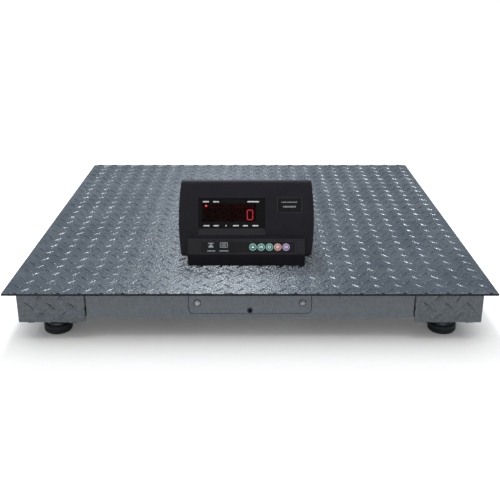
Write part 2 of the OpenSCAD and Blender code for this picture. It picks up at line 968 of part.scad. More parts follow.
module battery_door() {
    color(black_abs)
        at_indicator()
            difference() {
                box_at(
                    [door_x - door_w / 2, ind_depth - shell_t, door_z],
                    [door_x + door_w / 2, ind_depth, door_z + door_h]
                );
                // Finger ribs, sunk into the outer face
                for (i = [-3 : 3])
                    translate([door_x, ind_depth, door_z + door_h - 14 + i * 3])
                        cube([28, 1.2, 1.2], center = true);
            }
}

// ---- Nodes -------------------------------------------------------------------------------

deck_plate();
front_rail();
plain_rail(180);  // rear_rail
plain_rail(-90);  // left_rail
plain_rail(90);  // right_rail
corner_plate(false, false);  // corner_front_left
corner_plate(true, false);  // corner_front_right
corner_plate(false, true);  // corner_rear_left
corner_plate(true, true);  // corner_rear_right
pocket_walls();
deck_ribs();
cell_mount_plates();
load_cell(false, false);  // load_cell_front_left
load_cell(true, false);  // load_cell_front_right
load_cell(false, true);  // load_cell_rear_left
load_cell(true, true);  // load_cell_rear_right
load_cell_bolts();
foot_lock_nuts();
load_cell_leads();
junction_cover();
junction_cover_screws();
cable_grommet();
junction_tray();
junction_board();
lead_grommets();
foot_pad(false, false);  // foot_pad_front_left
foot_pad(true, false);  // foot_pad_front_right
foot_pad(false, true);  // foot_pad_rear_left
foot_pad(true, true);  // foot_pad_rear_right
foot_seat(false, false);  // foot_seat_front_left
foot_seat(true, false);  // foot_seat_front_right
foot_seat(false, true);  // foot_seat_rear_left
foot_seat(true, true);  // foot_seat_rear_right
foot_ball(false, false);  // foot_ball_front_left
foot_ball(true, false);  // foot_ball_front_right
foot_ball(false, true);  // foot_ball_rear_left
foot_ball(true, true);  // foot_ball_rear_right
foot_stud(false, false);  // foot_stud_front_left
foot_stud(true, false);  // foot_stud_front_right
foot_stud(false, true);  // foot_stud_rear_left
foot_stud(true, true);  // foot_stud_rear_right
indicator_front_shell();
indicator_rear_shell();
indicator_feet();
housing_screws();
display_window();
digit_modules();
main_board();
key_board();
key_overlay();
key(0);  // key_1
key(1);  // key_2
key(2);  // key_3
key(3);  // key_4
key(4);  // key_5
rear_sockets();
power_rocker();
transformer();
battery();
battery_door();
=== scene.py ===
# %% [markdown]
# # A pallet scale
# A square tread-plate platform on four levelling feet, with a black desk indicator standing on it.
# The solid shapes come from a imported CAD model, the frame. This notebook leaves them where they are,
# gives them their paint, rubber and plastic, and adds what is too fine for the solids: the raised
# tread, screw threads, the lit display, the printed marks and the leads under the deck.
# Everything is in metres, with +Z up and the front of the scale towards -Y.

# %% Load the frame
import json
import math
import random

import bmesh
import bpy
from mathutils import Matrix, Vector

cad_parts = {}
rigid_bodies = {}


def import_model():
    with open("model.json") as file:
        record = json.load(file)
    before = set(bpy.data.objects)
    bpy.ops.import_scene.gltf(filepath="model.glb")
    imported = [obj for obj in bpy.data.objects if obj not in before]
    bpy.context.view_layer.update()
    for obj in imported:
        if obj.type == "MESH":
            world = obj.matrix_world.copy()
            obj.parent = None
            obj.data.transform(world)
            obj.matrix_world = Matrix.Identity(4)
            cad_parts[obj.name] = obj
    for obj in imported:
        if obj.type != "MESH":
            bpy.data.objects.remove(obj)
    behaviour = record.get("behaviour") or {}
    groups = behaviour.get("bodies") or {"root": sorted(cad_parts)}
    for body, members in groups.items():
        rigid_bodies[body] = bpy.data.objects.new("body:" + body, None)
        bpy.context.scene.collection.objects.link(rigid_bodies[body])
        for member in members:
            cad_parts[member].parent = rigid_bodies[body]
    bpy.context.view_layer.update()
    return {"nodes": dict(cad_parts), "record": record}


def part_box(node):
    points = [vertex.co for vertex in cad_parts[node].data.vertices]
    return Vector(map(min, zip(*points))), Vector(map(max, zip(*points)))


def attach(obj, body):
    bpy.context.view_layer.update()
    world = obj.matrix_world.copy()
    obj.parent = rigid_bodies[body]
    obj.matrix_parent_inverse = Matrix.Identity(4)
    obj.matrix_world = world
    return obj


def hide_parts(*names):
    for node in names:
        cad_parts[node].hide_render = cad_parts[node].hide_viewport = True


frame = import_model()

mm = 0.001
scene = bpy.context.scene

# %% [markdown]
# ## Camera
# The scale is looked at from the height of a seated person, from in front, with a fairly long lens.
# A camera can be aimed with a Track To constraint or by its angles. Here the angles are set directly,
# because the camera looks straight along +Y and only dips: one number, the dip, says it all.

# %% The camera
camera_data = bpy.data.cameras.new("camera")
camera_data.lens = 55.37
camera_data.sensor_width = 36.0
camera = bpy.data.objects.new("camera", camera_data)
scene.collection.objects.link(camera)
camera.location = (0.0, -1.906, 0.762)
camera_dip = math.radians(21.19)
camera.rotation_euler = (math.radians(90) - camera_dip, 0.0, 0.0)
scene.camera = camera
scene.view_settings.view_transform = "Standard"
print("camera at", tuple(camera.location))

# %% [markdown]
# ## Building blocks for node trees
# Every finish below is a small tree of shader nodes. Writing each link by hand hides the idea under
# plumbing, so three helpers do it: one adds a node and sets its values, one starts a node group with
# named sockets, and one puts a finished group into a material.


# %% Node helpers
def add_node(tree, kind, values=None, **settings):
    """A node of this kind; settings are its properties, values its sockets or links into them."""
    made = tree.nodes.new(kind)
    for key, value in settings.items():
        setattr(made, key, value)
    for key, value in (values or {}).items():
        if isinstance(value, bpy.types.NodeSocket):
            tree.links.new(value, made.inputs[key])
        else:
            made.inputs[key].default_value = value
    return made


def new_group(name, inputs, outputs):
    """An empty node group. Inputs are (name, kind, default), outputs are (name, kind)."""
    tree = bpy.data.node_groups.new(name, "ShaderNodeTree")
    for label, kind, default in inputs:
        socket = tree.interface.new_socket(label, in_out="INPUT", socket_type="NodeSocket" + kind)
        socket.default_value = default
    for label, kind in outputs:
        tree.interface.new_socket(label, in_out="OUTPUT", socket_type="NodeSocket" + kind)
    return tree, tree.nodes.new("NodeGroupInput").outputs, tree.nodes.new("NodeGroupOutput").inputs


def maths(tree, operation, a, b=0.0, clamp=False):
    """The result of one Math node."""
    return add_node(tree, "ShaderNodeMath", {0: a, 1: b}, operation=operation, use_clamp=clamp).outputs[0]


def mix_colour(tree, factor, a, b):
    """The result of mixing two colours."""
    mixer = add_node(tree, "ShaderNodeMix", {"Factor": factor}, data_type="RGBA")
    for socket, value in ((mixer.inputs[6], a), (mixer.inputs[7], b)):
        if isinstance(value, bpy.types.NodeSocket):
            tree.links.new(value, socket)
        else:
            socket.default_value = (*value, 1.0)
    return mixer.outputs[2]


def spread(tree, value, low, high, to_low=0.0, to_high=1.0):
    """Stretches the range low..high of a value to to_low..to_high."""
    values = {"Value": value, "From Min": low, "From Max": high, "To Min": to_low, "To Max": to_high}
    return add_node(tree, "ShaderNodeMapRange", values).outputs[0]


# %% [markdown]
# ## Effects that several finishes share
# Each effect is one node group. A group puts out only a mask or a height, and the material decides
# what to do with it, so the same wear can brighten paint and dull rubber.
#
# **Hammertone** is the skin of hammer enamel: the paint pulls into small round cells while it dries.
# Real cells could be sculpted, but there are a quarter of a million of them on this deck. A Voronoi
# texture, bent by a little noise so that no cell is a perfect polygon, gives both their height and
# their light and dark.

# %% Group: hammertone
hammertone, given, result = new_group(
    "hammertone",
    [("Cells", "Float", 260.0), ("Waviness", "Float", 0.35)],
    [("Height", "Float"), ("Tone", "Float")],
)
place = add_node(hammertone, "ShaderNodeTexCoord").outputs["Object"]
wobble = add_node(hammertone, "ShaderNodeTexNoise", {"Vector": place, "Scale": 420.0, "Detail": 1.0})
bend = add_node(hammertone, "ShaderNodeVectorMath", {0: wobble.outputs["Color"]}, operation="SCALE")
hammertone.links.new(maths(hammertone, "MULTIPLY", given["Waviness"], 0.006), bend.inputs["Scale"])
bent = add_node(hammertone, "ShaderNodeVectorMath", {0: place, 1: bend.outputs[0]}, operation="ADD")
cells = add_node(
    hammertone, "ShaderNodeTexVoronoi",
    {"Vector": bent.outputs[0], "Scale": given["Cells"], "Smoothness": 0.35}, feature="SMOOTH_F1",
)
cell_depth = spread(hammertone, cells.outputs["Distance"], 0.05, 0.75)
hammertone.links.new(cell_depth, result["Height"])
cell_tone = add_node(hammertone, "ShaderNodeSeparateColor", {"Color": cells.outputs["Color"]})
mottle = maths(hammertone, "MULTIPLY", cell_tone.outputs[0], 0.65)
hammertone.links.new(maths(hammertone, "ADD", mottle, maths(hammertone, "MULTIPLY", cell_depth, 0.35)),
                     result["Tone"])
print("group:", hammertone.name)

# %% [markdown]
# **Edge wear.** Paint goes first from edges. Cycles' Bevel node gives the normal that a rounded edge
# would have. Where it leans away from the real normal there is an edge, and noise breaks the line up
# so that the wear looks knocked off and not drawn. Painted masks would need UV maps; this needs none.

# %% Group: edge wear
edge_wear, given, result = new_group(
    "edge wear",
    [("Width", "Float", 0.002), ("Patchiness", "Float", 0.5), ("Grain", "Float", 60.0)],
    [("Mask", "Float")],
)
rounded = add_node(edge_wear, "ShaderNodeBevel", {"Radius": given["Width"]}, samples=4)
flat = add_node(edge_wear, "ShaderNodeNewGeometry")
lean = add_node(
    edge_wear, "ShaderNodeVectorMath",
    {0: rounded.outputs["Normal"], 1: flat.outputs["Normal"]}, operation="DOT_PRODUCT",
)
edge = spread(edge_wear, lean.outputs["Value"], 0.985, 0.86)
place = add_node(edge_wear, "ShaderNodeTexCoord").outputs["Object"]
patches = add_node(edge_wear, "ShaderNodeTexNoise",
                   {"Vector": place, "Scale": given["Grain"], "Detail": 4.0, "Roughness": 0.65})
threshold = maths(edge_wear, "MULTIPLY", given["Patchiness"], 0.7)
kept = maths(edge_wear, "SUBTRACT", patches.outputs[0], threshold, clamp=True)
kept = maths(edge_wear, "MULTIPLY", kept, 5.0, clamp=True)
edge_wear.links.new(maths(edge_wear, "MULTIPLY", edge, kept, clamp=True), result["Mask"])
print("group:", edge_wear.name)

# %% [markdown]
# **Fine grain** is the spark-eroded texture of a plastic mould, and the pores of rubber: two sizes of
# noise added together. **Brushing** is noise stretched a long way in one direction, as rolled or
# turned steel shows. **Dust** lies only on what faces up, so its mask starts from the normal's height.

# %% Group: fine grain
fine_grain, given, result = new_group(
    "fine grain", [("Size", "Float", 0.0005)], [("Height", "Float"), ("Tone", "Float")])
place = add_node(fine_grain, "ShaderNodeTexCoord").outputs["Object"]
per_metre = maths(fine_grain, "DIVIDE", 1.0, given["Size"])
small = add_node(fine_grain, "ShaderNodeTexNoise", {"Vector": place, "Scale": per_metre, "Detail": 2.0})
large = add_node(fine_grain, "ShaderNodeTexNoise", {"Vector": place, "Scale": 22.0, "Detail": 3.0})
fine_grain.links.new(small.outputs[0], result["Height"])
fine_grain.links.new(spread(fine_grain, large.outputs[0], 0.3, 0.7), result["Tone"])

# %% Group: brushing
brushing, given, result = new_group(
    "brushing", [("Stretch", "Vector", (1.0, 12.0, 12.0)), ("Lines", "Float", 150.0)],
    [("Height", "Float"), ("Tone", "Float")])
place = add_node(brushing, "ShaderNodeTexCoord").outputs["Object"]
drawn = add_node(brushing, "ShaderNodeVectorMath", {0: place, 1: given["Stretch"]}, operation="MULTIPLY")
lines = add_node(brushing, "ShaderNodeTexNoise",
                 {"Vector": drawn.outputs[0], "Scale": given["Lines"], "Detail": 3.0})
stains = add_node(brushing, "ShaderNodeTexNoise", {"Vector": place, "Scale": 45.0, "Detail": 3.0})
brushing.links.new(lines.outputs[0], result["Height"])
brushing.links.new(spread(brushing, stains.outputs[0], 0.35, 0.7), result["Tone"])

# %% Group: dust
dust, given, result = new_group("dust", [("Amount", "Float", 0.2)], [("Mask", "Float")])
facing = add_node(dust, "ShaderNodeSeparateXYZ",
                  {0: add_node(dust, "ShaderNodeNewGeometry").outputs["Normal"]})
upward = spread(dust, facing.outputs["Z"], 0.55, 1.0)
place = add_node(dust, "ShaderNodeTexCoord").outputs["Object"]
drifts = add_node(dust, "ShaderNodeTexNoise", {"Vector": place, "Scale": 14.0, "Detail": 5.0})
lying = maths(dust, "MULTIPLY", upward, spread(dust, drifts.outputs[0], 0.4, 0.75))
dust.links.new(maths(dust, "MULTIPLY", lying, given["Amount"], clamp=True), result["Mask"])
print("groups:", fine_grain.name, brushing.name, dust.name)

# %% [markdown]
# ## Finishes
# A finish is a material: one Principled shader, fed by the groups above. Values that are the same all
# over, such as the gloss of a lacquer, are set straight on the shader.


# %% A material with its shader, and its groups
def new_material(name, roughness, metallic=0.0, **more):
    """A material, its node tree and its Principled shader, with values the same all over."""
    made = bpy.data.materials.new(name)
    made.use_nodes = True
    shader = made.node_tree.nodes["Principled BSDF"]
    shader.inputs["Roughness"].default_value = roughness
    shader.inputs["Metallic"].default_value = metallic
    for key, value in more.items():
        shader.inputs[key.replace("_", " ")].default_value = value
    return made, made.node_tree, shader


def place_group(tree, group, **values):
    """Puts a node group in a material and returns its outputs."""
    made = tree.nodes.new("ShaderNodeGroup")
    made.node_tree = group
    for key, value in values.items():
        made.inputs[key].default_value = value
    return made.outputs


def bump(tree, shader, height, depth):
    """Lets a height between 0 and 1 dent the surface by this depth, in metres."""
    made = add_node(tree, "ShaderNodeBump", {"Height": height, "Distance": depth, "Strength": 1.0})
    tree.links.new(made.outputs["Normal"], shader.inputs["Normal"])


# %% [markdown]
# ### Hammer enamel, blue-grey
# The paint of the deck and of the four corner plates. It is glossy, so it takes light from behind at
# a low angle, and its cells break that light up. A slow noise drifts the colour from place to place.
# On the edges and on the tops of the tread the paint is thin and pale.


# %% Finish: hammer enamel
def hammer_enamel(name, dark, light, worn, cells, depth, edge_width, gloss):
    """Hammer enamel with its two colours, and the colour of its worn edges."""
    made, tree, shader = new_material(name, 0.3, Specular_IOR_Level=gloss)
    skin = place_group(tree, hammertone, Cells=cells)
    place = add_node(tree, "ShaderNodeTexCoord").outputs["Object"]
    drift = add_node(tree, "ShaderNodeTexNoise", {"Vector": place, "Scale": 3.2, "Detail": 4.0})
    tone = maths(tree, "ADD", maths(tree, "MULTIPLY", skin["Tone"], 0.75),
                 spread(tree, drift.outputs[0], 0.35, 0.65, 0.0, 0.12), clamp=True)
    colour = mix_colour(tree, tone, dark, light)
    wear = place_group(tree, edge_wear, Width=edge_width, Patchiness=0.45)["Mask"]
    colour = mix_colour(tree, maths(tree, "MULTIPLY", wear, 0.8), colour, worn)
    haze = place_group(tree, dust, Amount=0.10)["Mask"]
    colour = mix_colour(tree, haze, colour, (0.33, 0.34, 0.35))
    tree.links.new(colour, shader.inputs["Base Color"])
    tree.links.new(spread(tree, skin["Tone"], 0.0, 1.0, 0.34, 0.20), shader.inputs["Roughness"])
    bump(tree, shader, skin["Height"], depth)
    return made


tread_paint = hammer_enamel(
    "hammer enamel", (0.006, 0.009, 0.013), (0.060, 0.080, 0.104), (0.30, 0.34, 0.38),
    230.0, 0.0004, 0.0014, 0.8)
print("finish:", tread_paint.name)

# %% [markdown]
# ### Smooth enamel
# The side channels and the cover are smooth steel under the same paint, without the deep cells. What
# is left is orange peel, the faint ripple of sprayed paint, so the same group runs with larger,
# shallower cells.

# %% Finish: smooth enamel
smooth_paint = hammer_enamel(
    "smooth enamel", (0.078, 0.088, 0.102), (0.108, 0.121, 0.138), (0.30, 0.32, 0.34),
    150.0, 0.00012, 0.0014, 0.45)
print("finish:", smooth_paint.name)

# %% [markdown]
# ### Bright and dull steel
# Plated studs and screws, the load cells and the galvanised tray are all metal, so Metallic is 1 and
# the colour is what it mirrors. The brushing lines give a direction to the gloss, and slow stains
# keep it from looking new.


# %% Finish: steels
def steel(name, bright, dull, roughness, stretch=(1.0, 12.0, 12.0), lines=150.0):
    """Bare or plated steel, brushed along the axis with the least stretch."""
    made, tree, shader = new_material(name, roughness, 1.0)
    brushed = place_group(tree, brushing, Stretch=stretch, Lines=lines)
    wear = place_group(tree, edge_wear, Width=0.0006, Patchiness=0.3, Grain=300.0)["Mask"]
    colour = mix_colour(tree, brushed["Tone"], bright, dull)
    colour = mix_colour(tree, wear, colour, (0.82, 0.82, 0.82))
    tree.links.new(colour, shader.inputs["Base Color"])
    tree.links.new(spread(tree, brushed["Height"], 0.3, 0.7, roughness * 0.7, roughness * 1.3),
                   shader.inputs["Roughness"])
    bump(tree, shader, brushed["Height"], 0.00004)
    return made


bare_steel = steel("plated steel", (0.60, 0.61, 0.62), (0.40, 0.40, 0.41), 0.34)
cell_steel = steel("nickel-plated load cell", (0.52, 0.51, 0.48), (0.38, 0.37, 0.36), 0.30,
                   (10.0, 10.0, 1.0), 120.0)
old_steel = steel("weathered screws", (0.34, 0.35, 0.36), (0.16, 0.16, 0.17), 0.42)
tray_steel = steel("galvanised sheet", (0.50, 0.52, 0.54), (0.33, 0.35, 0.37), 0.48, (1.0, 1.0, 1.0), 60.0)
print("finishes:", bare_steel.name, cell_steel.name, tray_steel.name)

# %% [markdown]
# ### Rubber, cable jacket and moulded plastic
# All three are dark and not metal. What tells them apart is gloss and grain: rubber is matt with
# pores and a bloom of dust, a jacket is satin, and the housing has an even, fine mould texture.


# %% Finish: plastics and rubber
def plastic(name, colour, second, roughness, grain=0.0005, depth=0.00003, dusty=0.1, edge=0.12, **more):
    """Moulded plastic or rubber. second is the colour it drifts to, edge how much its edges shine."""
    made, tree, shader = new_material(name, roughness, 0.0, **more)
    texture = place_group(tree, fine_grain, Size=grain)
    base = mix_colour(tree, texture["Tone"], colour, second)
    wear = place_group(tree, edge_wear, Width=0.0008, Patchiness=0.2, Grain=120.0)["Mask"]
    pale = tuple(min(1.0, c * 2.0 + 0.03) for c in second)
    base = mix_colour(tree, maths(tree, "MULTIPLY", wear, edge), base, pale)
    haze = place_group(tree, dust, Amount=dusty)["Mask"]
    base = mix_colour(tree, haze, base, (0.30, 0.29, 0.28))
    tree.links.new(base, shader.inputs["Base Color"])
    tree.links.new(spread(tree, texture["Height"], 0.3, 0.7, roughness * 0.88, roughness * 1.1),
                   shader.inputs["Roughness"])
    bump(tree, shader, texture["Height"], depth)
    return made


rubber = plastic("black rubber", (0.006, 0.007, 0.010), (0.013, 0.014, 0.018), 0.55, 0.0008, 0.00005, 0.10,
                 Specular_IOR_Level=0.3)
lead_jacket = plastic("cable jacket", (0.030, 0.030, 0.034), (0.045, 0.045, 0.05), 0.50, 0.0006)
housing = plastic("textured housing", (0.0068, 0.0058, 0.0082), (0.0105, 0.0090, 0.0124), 0.50, 0.0005,
                  0.00004, 0.01, 0.25, Specular_IOR_Level=0.16)
overlay = plastic("keypad film", (0.0045, 0.0040, 0.0052), (0.0075, 0.0068, 0.0085), 0.36, 0.0003, 0.00001,
                  0.0, 0.1, Specular_IOR_Level=0.09)
label_film = plastic("label film", (0.0060, 0.0058, 0.0070), (0.0085, 0.0082, 0.0095), 0.30, 0.0003, 0.00001,
                     0.0, 0.1, Specular_IOR_Level=0.12)
battery_case = plastic("battery case", (0.05, 0.05, 0.055), (0.08, 0.08, 0.085), 0.5)
rocker_black = plastic("rocker", (0.010, 0.010, 0.010), (0.018, 0.018, 0.018), 0.28, 0.0006, 0.00001, 0.03)
digit_black = plastic("digit module", (0.010, 0.003, 0.003), (0.014, 0.004, 0.004), 0.6, 0.0004, 0.00001,
                      0.0, 0.0, Specular_IOR_Level=0.1)
varnish = plastic("varnished laminations", (0.10, 0.085, 0.07), (0.16, 0.13, 0.10), 0.42, 0.0009, 0.00008)
print("finishes: nine plastics and rubbers")

# %% [markdown]
# ### Circuit board
# Green solder mask is glossy lacquer over copper. The tracks show as slightly raised paler lines, and
# a Brick texture laid in two directions is enough to suggest them on boards that are seldom seen.

# %% Finish: circuit board
board, tree, shader = new_material("circuit board", 0.32, Coat_Weight=0.4)
place = add_node(tree, "ShaderNodeTexCoord").outputs["Object"]
tracks = add_node(tree, "ShaderNodeTexBrick", {
    "Vector": place, "Scale": 110.0, "Mortar Size": 0.06, "Brick Width": 1.7, "Row Height": 0.55,
    "Color1": (0.010, 0.085, 0.038, 1.0), "Color2": (0.014, 0.105, 0.048, 1.0),
    "Mortar": (0.045, 0.20, 0.10, 1.0)})
texture = place_group(tree, fine_grain, Size=0.002)
soldered = mix_colour(tree, maths(tree, "MULTIPLY", texture["Tone"], 0.25), tracks.outputs["Color"],
                      (0.02, 0.07, 0.04))
tree.links.new(soldered, shader.inputs["Base Color"])
bump(tree, shader, tracks.outputs["Fac"], 0.00005)
print("finish:", board.name)

# %% [markdown]
# ### Dark red window
# The display's pane is dark red acrylic. Only red light comes through it, so the lit digits glow and
# everything else behind it sinks into black. It is real glass to the renderer: transmission with a
# red tint, set as plain values, and a very faint haze of scratches on its gloss.

# %% Finish: window
window_red, tree, shader = new_material(
    "red acrylic", 0.06, Transmission_Weight=1.0, IOR=1.12, Coat_Weight=0.04, Coat_Roughness=0.05)
texture = place_group(tree, fine_grain, Size=0.004)
tree.links.new(mix_colour(tree, texture["Tone"], (0.38, 0.045, 0.055), (0.42, 0.050, 0.060)),
               shader.inputs["Base Color"])
tree.links.new(spread(tree, texture["Height"], 0.3, 0.7, 0.03, 0.10), shader.inputs["Roughness"])
print("finish:", window_red.name)

# %% [markdown]
# ### Keys, prints and light
# Each key is a satin cap in its colour. Printed marks are a thin film of ink. A lit segment gives off
# its own light. Its colour wanders between two reds with a fine noise, so it isn't one flat red.

# %% Finish: keys and inks
# The caps are paler copies of their faces' colours below, so the ring they show round each face is a painted
# highlight.
key_green = plastic("green key", (0.185, 0.40, 0.345), (0.215, 0.44, 0.38), 0.4, 0.0004, 0.00001, 0.02)
key_red = plastic("salmon key", (0.56, 0.30, 0.24), (0.62, 0.34, 0.28), 0.4, 0.0004, 0.00001, 0.02)
key_purple = plastic("purple key", (0.36, 0.27, 0.42), (0.41, 0.31, 0.47), 0.4, 0.0004, 0.00001, 0.02)
face_green = plastic(
    "green key face", (0.008, 0.110, 0.078), (0.012, 0.135, 0.098), 0.35, 0.0004, 0.00001, 0.0)
face_red = plastic("salmon key face", (0.32, 0.12, 0.085), (0.37, 0.14, 0.10), 0.35, 0.0004, 0.00001, 0.0)
face_purple = plastic("purple key face", (0.17, 0.085, 0.24), (0.20, 0.10, 0.28), 0.35, 0.0004, 0.00001, 0.0)
white_ink = plastic("white ink", (0.76, 0.76, 0.76), (0.84, 0.84, 0.84), 0.45, 0.0004, 0.000005, 0.0)
grey_ink = plastic("grey ink", (0.23, 0.23, 0.24), (0.28, 0.28, 0.29), 0.45, 0.0004, 0.000005, 0.0)
faint_ink = plastic("faint ink", (0.030, 0.030, 0.034), (0.040, 0.040, 0.045), 0.5, 0.0004, 0.000005, 0.0)
black_ink = plastic("black window print", (0.0026, 0.0024, 0.0026), (0.0034, 0.003, 0.0034), 0.18, 0.0006,
                    0.000003, 0.0, 0.0, Specular_IOR_Level=0.12)
unlit = plastic("unlit segment", (0.020, 0.004, 0.004), (0.026, 0.005, 0.005), 0.5, 0.0004, 0.00001, 0.0)
potting = plastic("silicone potting", (0.42, 0.40, 0.36), (0.50, 0.47, 0.42), 0.42, 0.003, 0.0003)
insulator = plastic("socket insulator", (0.020, 0.024, 0.030), (0.030, 0.034, 0.040), 0.4)
print("finishes: keys and inks")


# %% Finish: lit segments and lamp
def glowing(name, core, edge, strength):
    """Something lit from behind: core in the high patches of the noise, edge in the low ones."""
    made, tree, shader = new_material(name, 0.4, Emission_Strength=strength)
    place = add_node(tree, "ShaderNodeTexCoord").outputs["Object"]
    glow = add_node(tree, "ShaderNodeTexNoise", {"Vector": place, "Scale": 420.0, "Detail": 1.0})
    light = mix_colour(tree, spread(tree, glow.outputs[0], 0.3, 0.7), edge, core)
    tree.links.new(light, shader.inputs["Emission Color"])
    tree.links.new(mix_colour(tree, glow.outputs[0], (0.10, 0.01, 0.01), (0.16, 0.02, 0.02)),
                   shader.inputs["Base Color"])
    return made


lit = glowing("lit segment", (1.0, 0.60, 0.62), (1.0, 0.46, 0.50), 1.25)
lamp_light = glowing("lit lamp", (1.0, 0.75, 0.70), (1.0, 0.60, 0.55), 5.0)
print("finishes:", lit.name, lamp_light.name)

# %% [markdown]
# ## Dressing the solids
# The record gives each solid a slot, which names its finish. The solids' edges are knife-sharp, and
# no real edge is. A Weld modifier first joins the split corners, then a narrow Bevel rounds the
# edges, which is what catches the light along the deck's rim. Both are modifiers, so the frame's own
# shapes stay as they were.

# %% Finishes by slot
finish_of = {
    "tread_paint": tread_paint, "smooth_paint": smooth_paint, "bare_steel": bare_steel,
    "rubber": rubber, "lead_jacket": lead_jacket, "board": board, "housing": housing,
    "window": window_red, "digits": digit_black, "overlay": overlay, "key_green": key_green,
    "key_red": key_red, "key_purple": key_purple, "rocker": rocker_black,
    "battery_case": battery_case, "core_steel": varnish, "tray_steel": tray_steel,
}
slot_of = {part["node"]: part["material_slot"] for part in frame["record"]["subparts"]}
for name, solid in frame["nodes"].items():
    finish = finish_of[slot_of[name]]
    if name.startswith("load_cell_") and "bolts" not in name and "leads" not in name:
        finish = cell_steel
    if name == "junction_cover_screws":
        finish = old_steel
    solid.data.materials.clear()
    solid.data.materials.append(finish)
print("dressed", len(frame["nodes"]), "solids")


# %% Rounded edges
def round_edges(name, width):
    """Welds a solid's split corners and bevels its edges."""
    solid = frame["nodes"][name]
    if "custom_normal" in solid.data.attributes:
        solid.data.attributes.remove(solid.data.attributes["custom_normal"])
    weld = solid.modifiers.new("weld", "WELD")
    weld.merge_threshold = 0.00002
    bevel = solid.modifiers.new("bevel", "BEVEL")
    bevel.width = width
    bevel.segments = 2
    bevel.limit_method = "ANGLE"
    bevel.angle_limit = math.radians(40)
    bevel.harden_normals = True


rounding = {"deck_plate": 0.9, "junction_cover": 0.4, "junction_tray": 0.3, "key_overlay": 0.1}
for name in frame["nodes"]:
    if name.startswith("corner_"):
        rounding[name] = 0.8
    if name.endswith("_rail") and name != "front_rail":
        rounding[name] = 1.2
for name, width in rounding.items():
    round_edges(name, width * mm)
print("rounded the edges of", len(rounding), "solids")

# %% [markdown]
# ## Making pieces
# The pieces below are made point by point with bmesh, in the place where they belong, so an object
# never has to be moved. Flat shapes are outlines pushed up into prisms. An outline is a plain list
# of points, which keeps rounded rectangles, rings and icons down to a line each.


# %% From points to a piece
def add_piece(name, build, body, material, smooth=False, bevel=0.0):
    """Runs build on an empty mesh and makes the result a piece that rides on a body."""
    mesh = bpy.data.meshes.new(name)
    shape = bmesh.new()
    build(shape)
    shape.to_mesh(mesh)
    shape.free()
    for face in mesh.polygons:
        face.use_smooth = smooth
    mesh.materials.append(material)
    piece = bpy.data.objects.new(name, mesh)
    scene.collection.objects.link(piece)
    if bevel:
        edges = piece.modifiers.new("bevel", "BEVEL")
        edges.width = bevel
        edges.segments = 2
        edges.limit_method = "ANGLE"
        edges.harden_normals = smooth
    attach(piece, body)
    return piece


def prism(shape, outline, low, high, place):
    """Pushes a closed outline, given anticlockwise, up from low to high."""
    bottom = [shape.verts.new(place @ Vector((x, y, low))) for x, y in outline]
    top = [shape.verts.new(place @ Vector((x, y, high))) for x, y in outline]
    shape.faces.new(top)
    shape.faces.new(bottom[::-1])
    for i in range(len(outline)):
        j = (i + 1) % len(outline)
        shape.faces.new((bottom[i], bottom[j], top[j], top[i]))


def ring(shape, outer, inner, low, high, place):
    """A flat ring between two outlines with the same number of points."""
    loops = []
    for outline, level in ((outer, low), (outer, high), (inner, high), (inner, low)):
        loops.append([shape.verts.new(place @ Vector((x, y, level))) for x, y in outline])
    for k in range(4):
        here = loops[k]
        there = loops[(k + 1) % 4]
        for i in range(len(outer)):
            j = (i + 1) % len(outer)
            shape.faces.new((here[i], here[j], there[j], there[i]))


def skin(shape, rings):
    """Faces between rings that have the same number of points."""
    for near, far in zip(rings, rings[1:]):
        for k in range(len(near)):
            m = (k + 1) % len(near)
            shape.faces.new((near[k], near[m], far[m], far[k]))


def polar(radius, angle, height=0.0):
    """A point at this radius and angle round the Z axis."""
    return Vector((radius * math.cos(angle), radius * math.sin(angle), height))


def lathe(shape, profile, centre, steps=32):
    """Turns a profile of (radius, height) points round the Z axis through centre."""
    rings = []
    for radius, height in profile:
        if radius < 1e-6:
            rings.append([shape.verts.new(centre + Vector((0.0, 0.0, height)))] * steps)
            continue
        turn = [math.tau * i / steps for i in range(steps)]
        rings.append([shape.verts.new(centre + polar(radius, a, height)) for a in turn])
    for low, high in zip(rings, rings[1:]):
        for i in range(steps):
            j = (i + 1) % steps
            corners = list(dict.fromkeys((low[i], low[j], high[j], high[i])))
            if len(corners) > 2:
                shape.faces.new(corners)


# %% Outlines
def box_outline(x, y, width, height, radius=0.0, steps=4):
    """A rectangle round (x, y), with rounded corners where radius isn't nought."""
    points = []
    for turn, (right, up) in enumerate(((1, 1), (-1, 1), (-1, -1), (1, -1))):
        cx = x + right * (width / 2 - radius)
        cy = y + up * (height / 2 - radius)
        if radius == 0:
            points.append((cx, cy))
            continue
        for k in range(steps + 1):
            a = math.radians(90 * turn + 90 * k / steps)
            points.append((cx + radius * math.cos(a), cy + radius * math.sin(a)))
    return points


def circle_outline(x, y, radius, steps=24):
    """A circle round (x, y)."""
    return [(x + radius * math.cos(math.tau * i / steps), y + radius * math.sin(math.tau * i / steps))
            for i in range(steps)]


# %% [markdown]
# ## The tread
# Tread plate is rolled with pointed lugs, in two directions, that lean left and right by turns. They
# could be a bump map, but from a low angle real lugs hide each other and stand out along the plate's
# edge, so they are real. Each is a small ship: narrow at the ends, round on top. At the edge of the
# plate a lug is cut off straight, as shears would, by holding its points inside the plate.

# %% One lug
lug_length = 29 * mm
lug_width = 7.4 * mm
lug_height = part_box("indicator_feet")[0].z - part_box("deck_plate")[1].z
lug_sink = 0.15 * mm
across_lug = (-1.0, -0.75, -0.4, 0.0, 0.4, 0.75, 1.0)
along_lug = (-0.86, -0.6, -0.3, 0.0, 0.3, 0.6, 0.86)


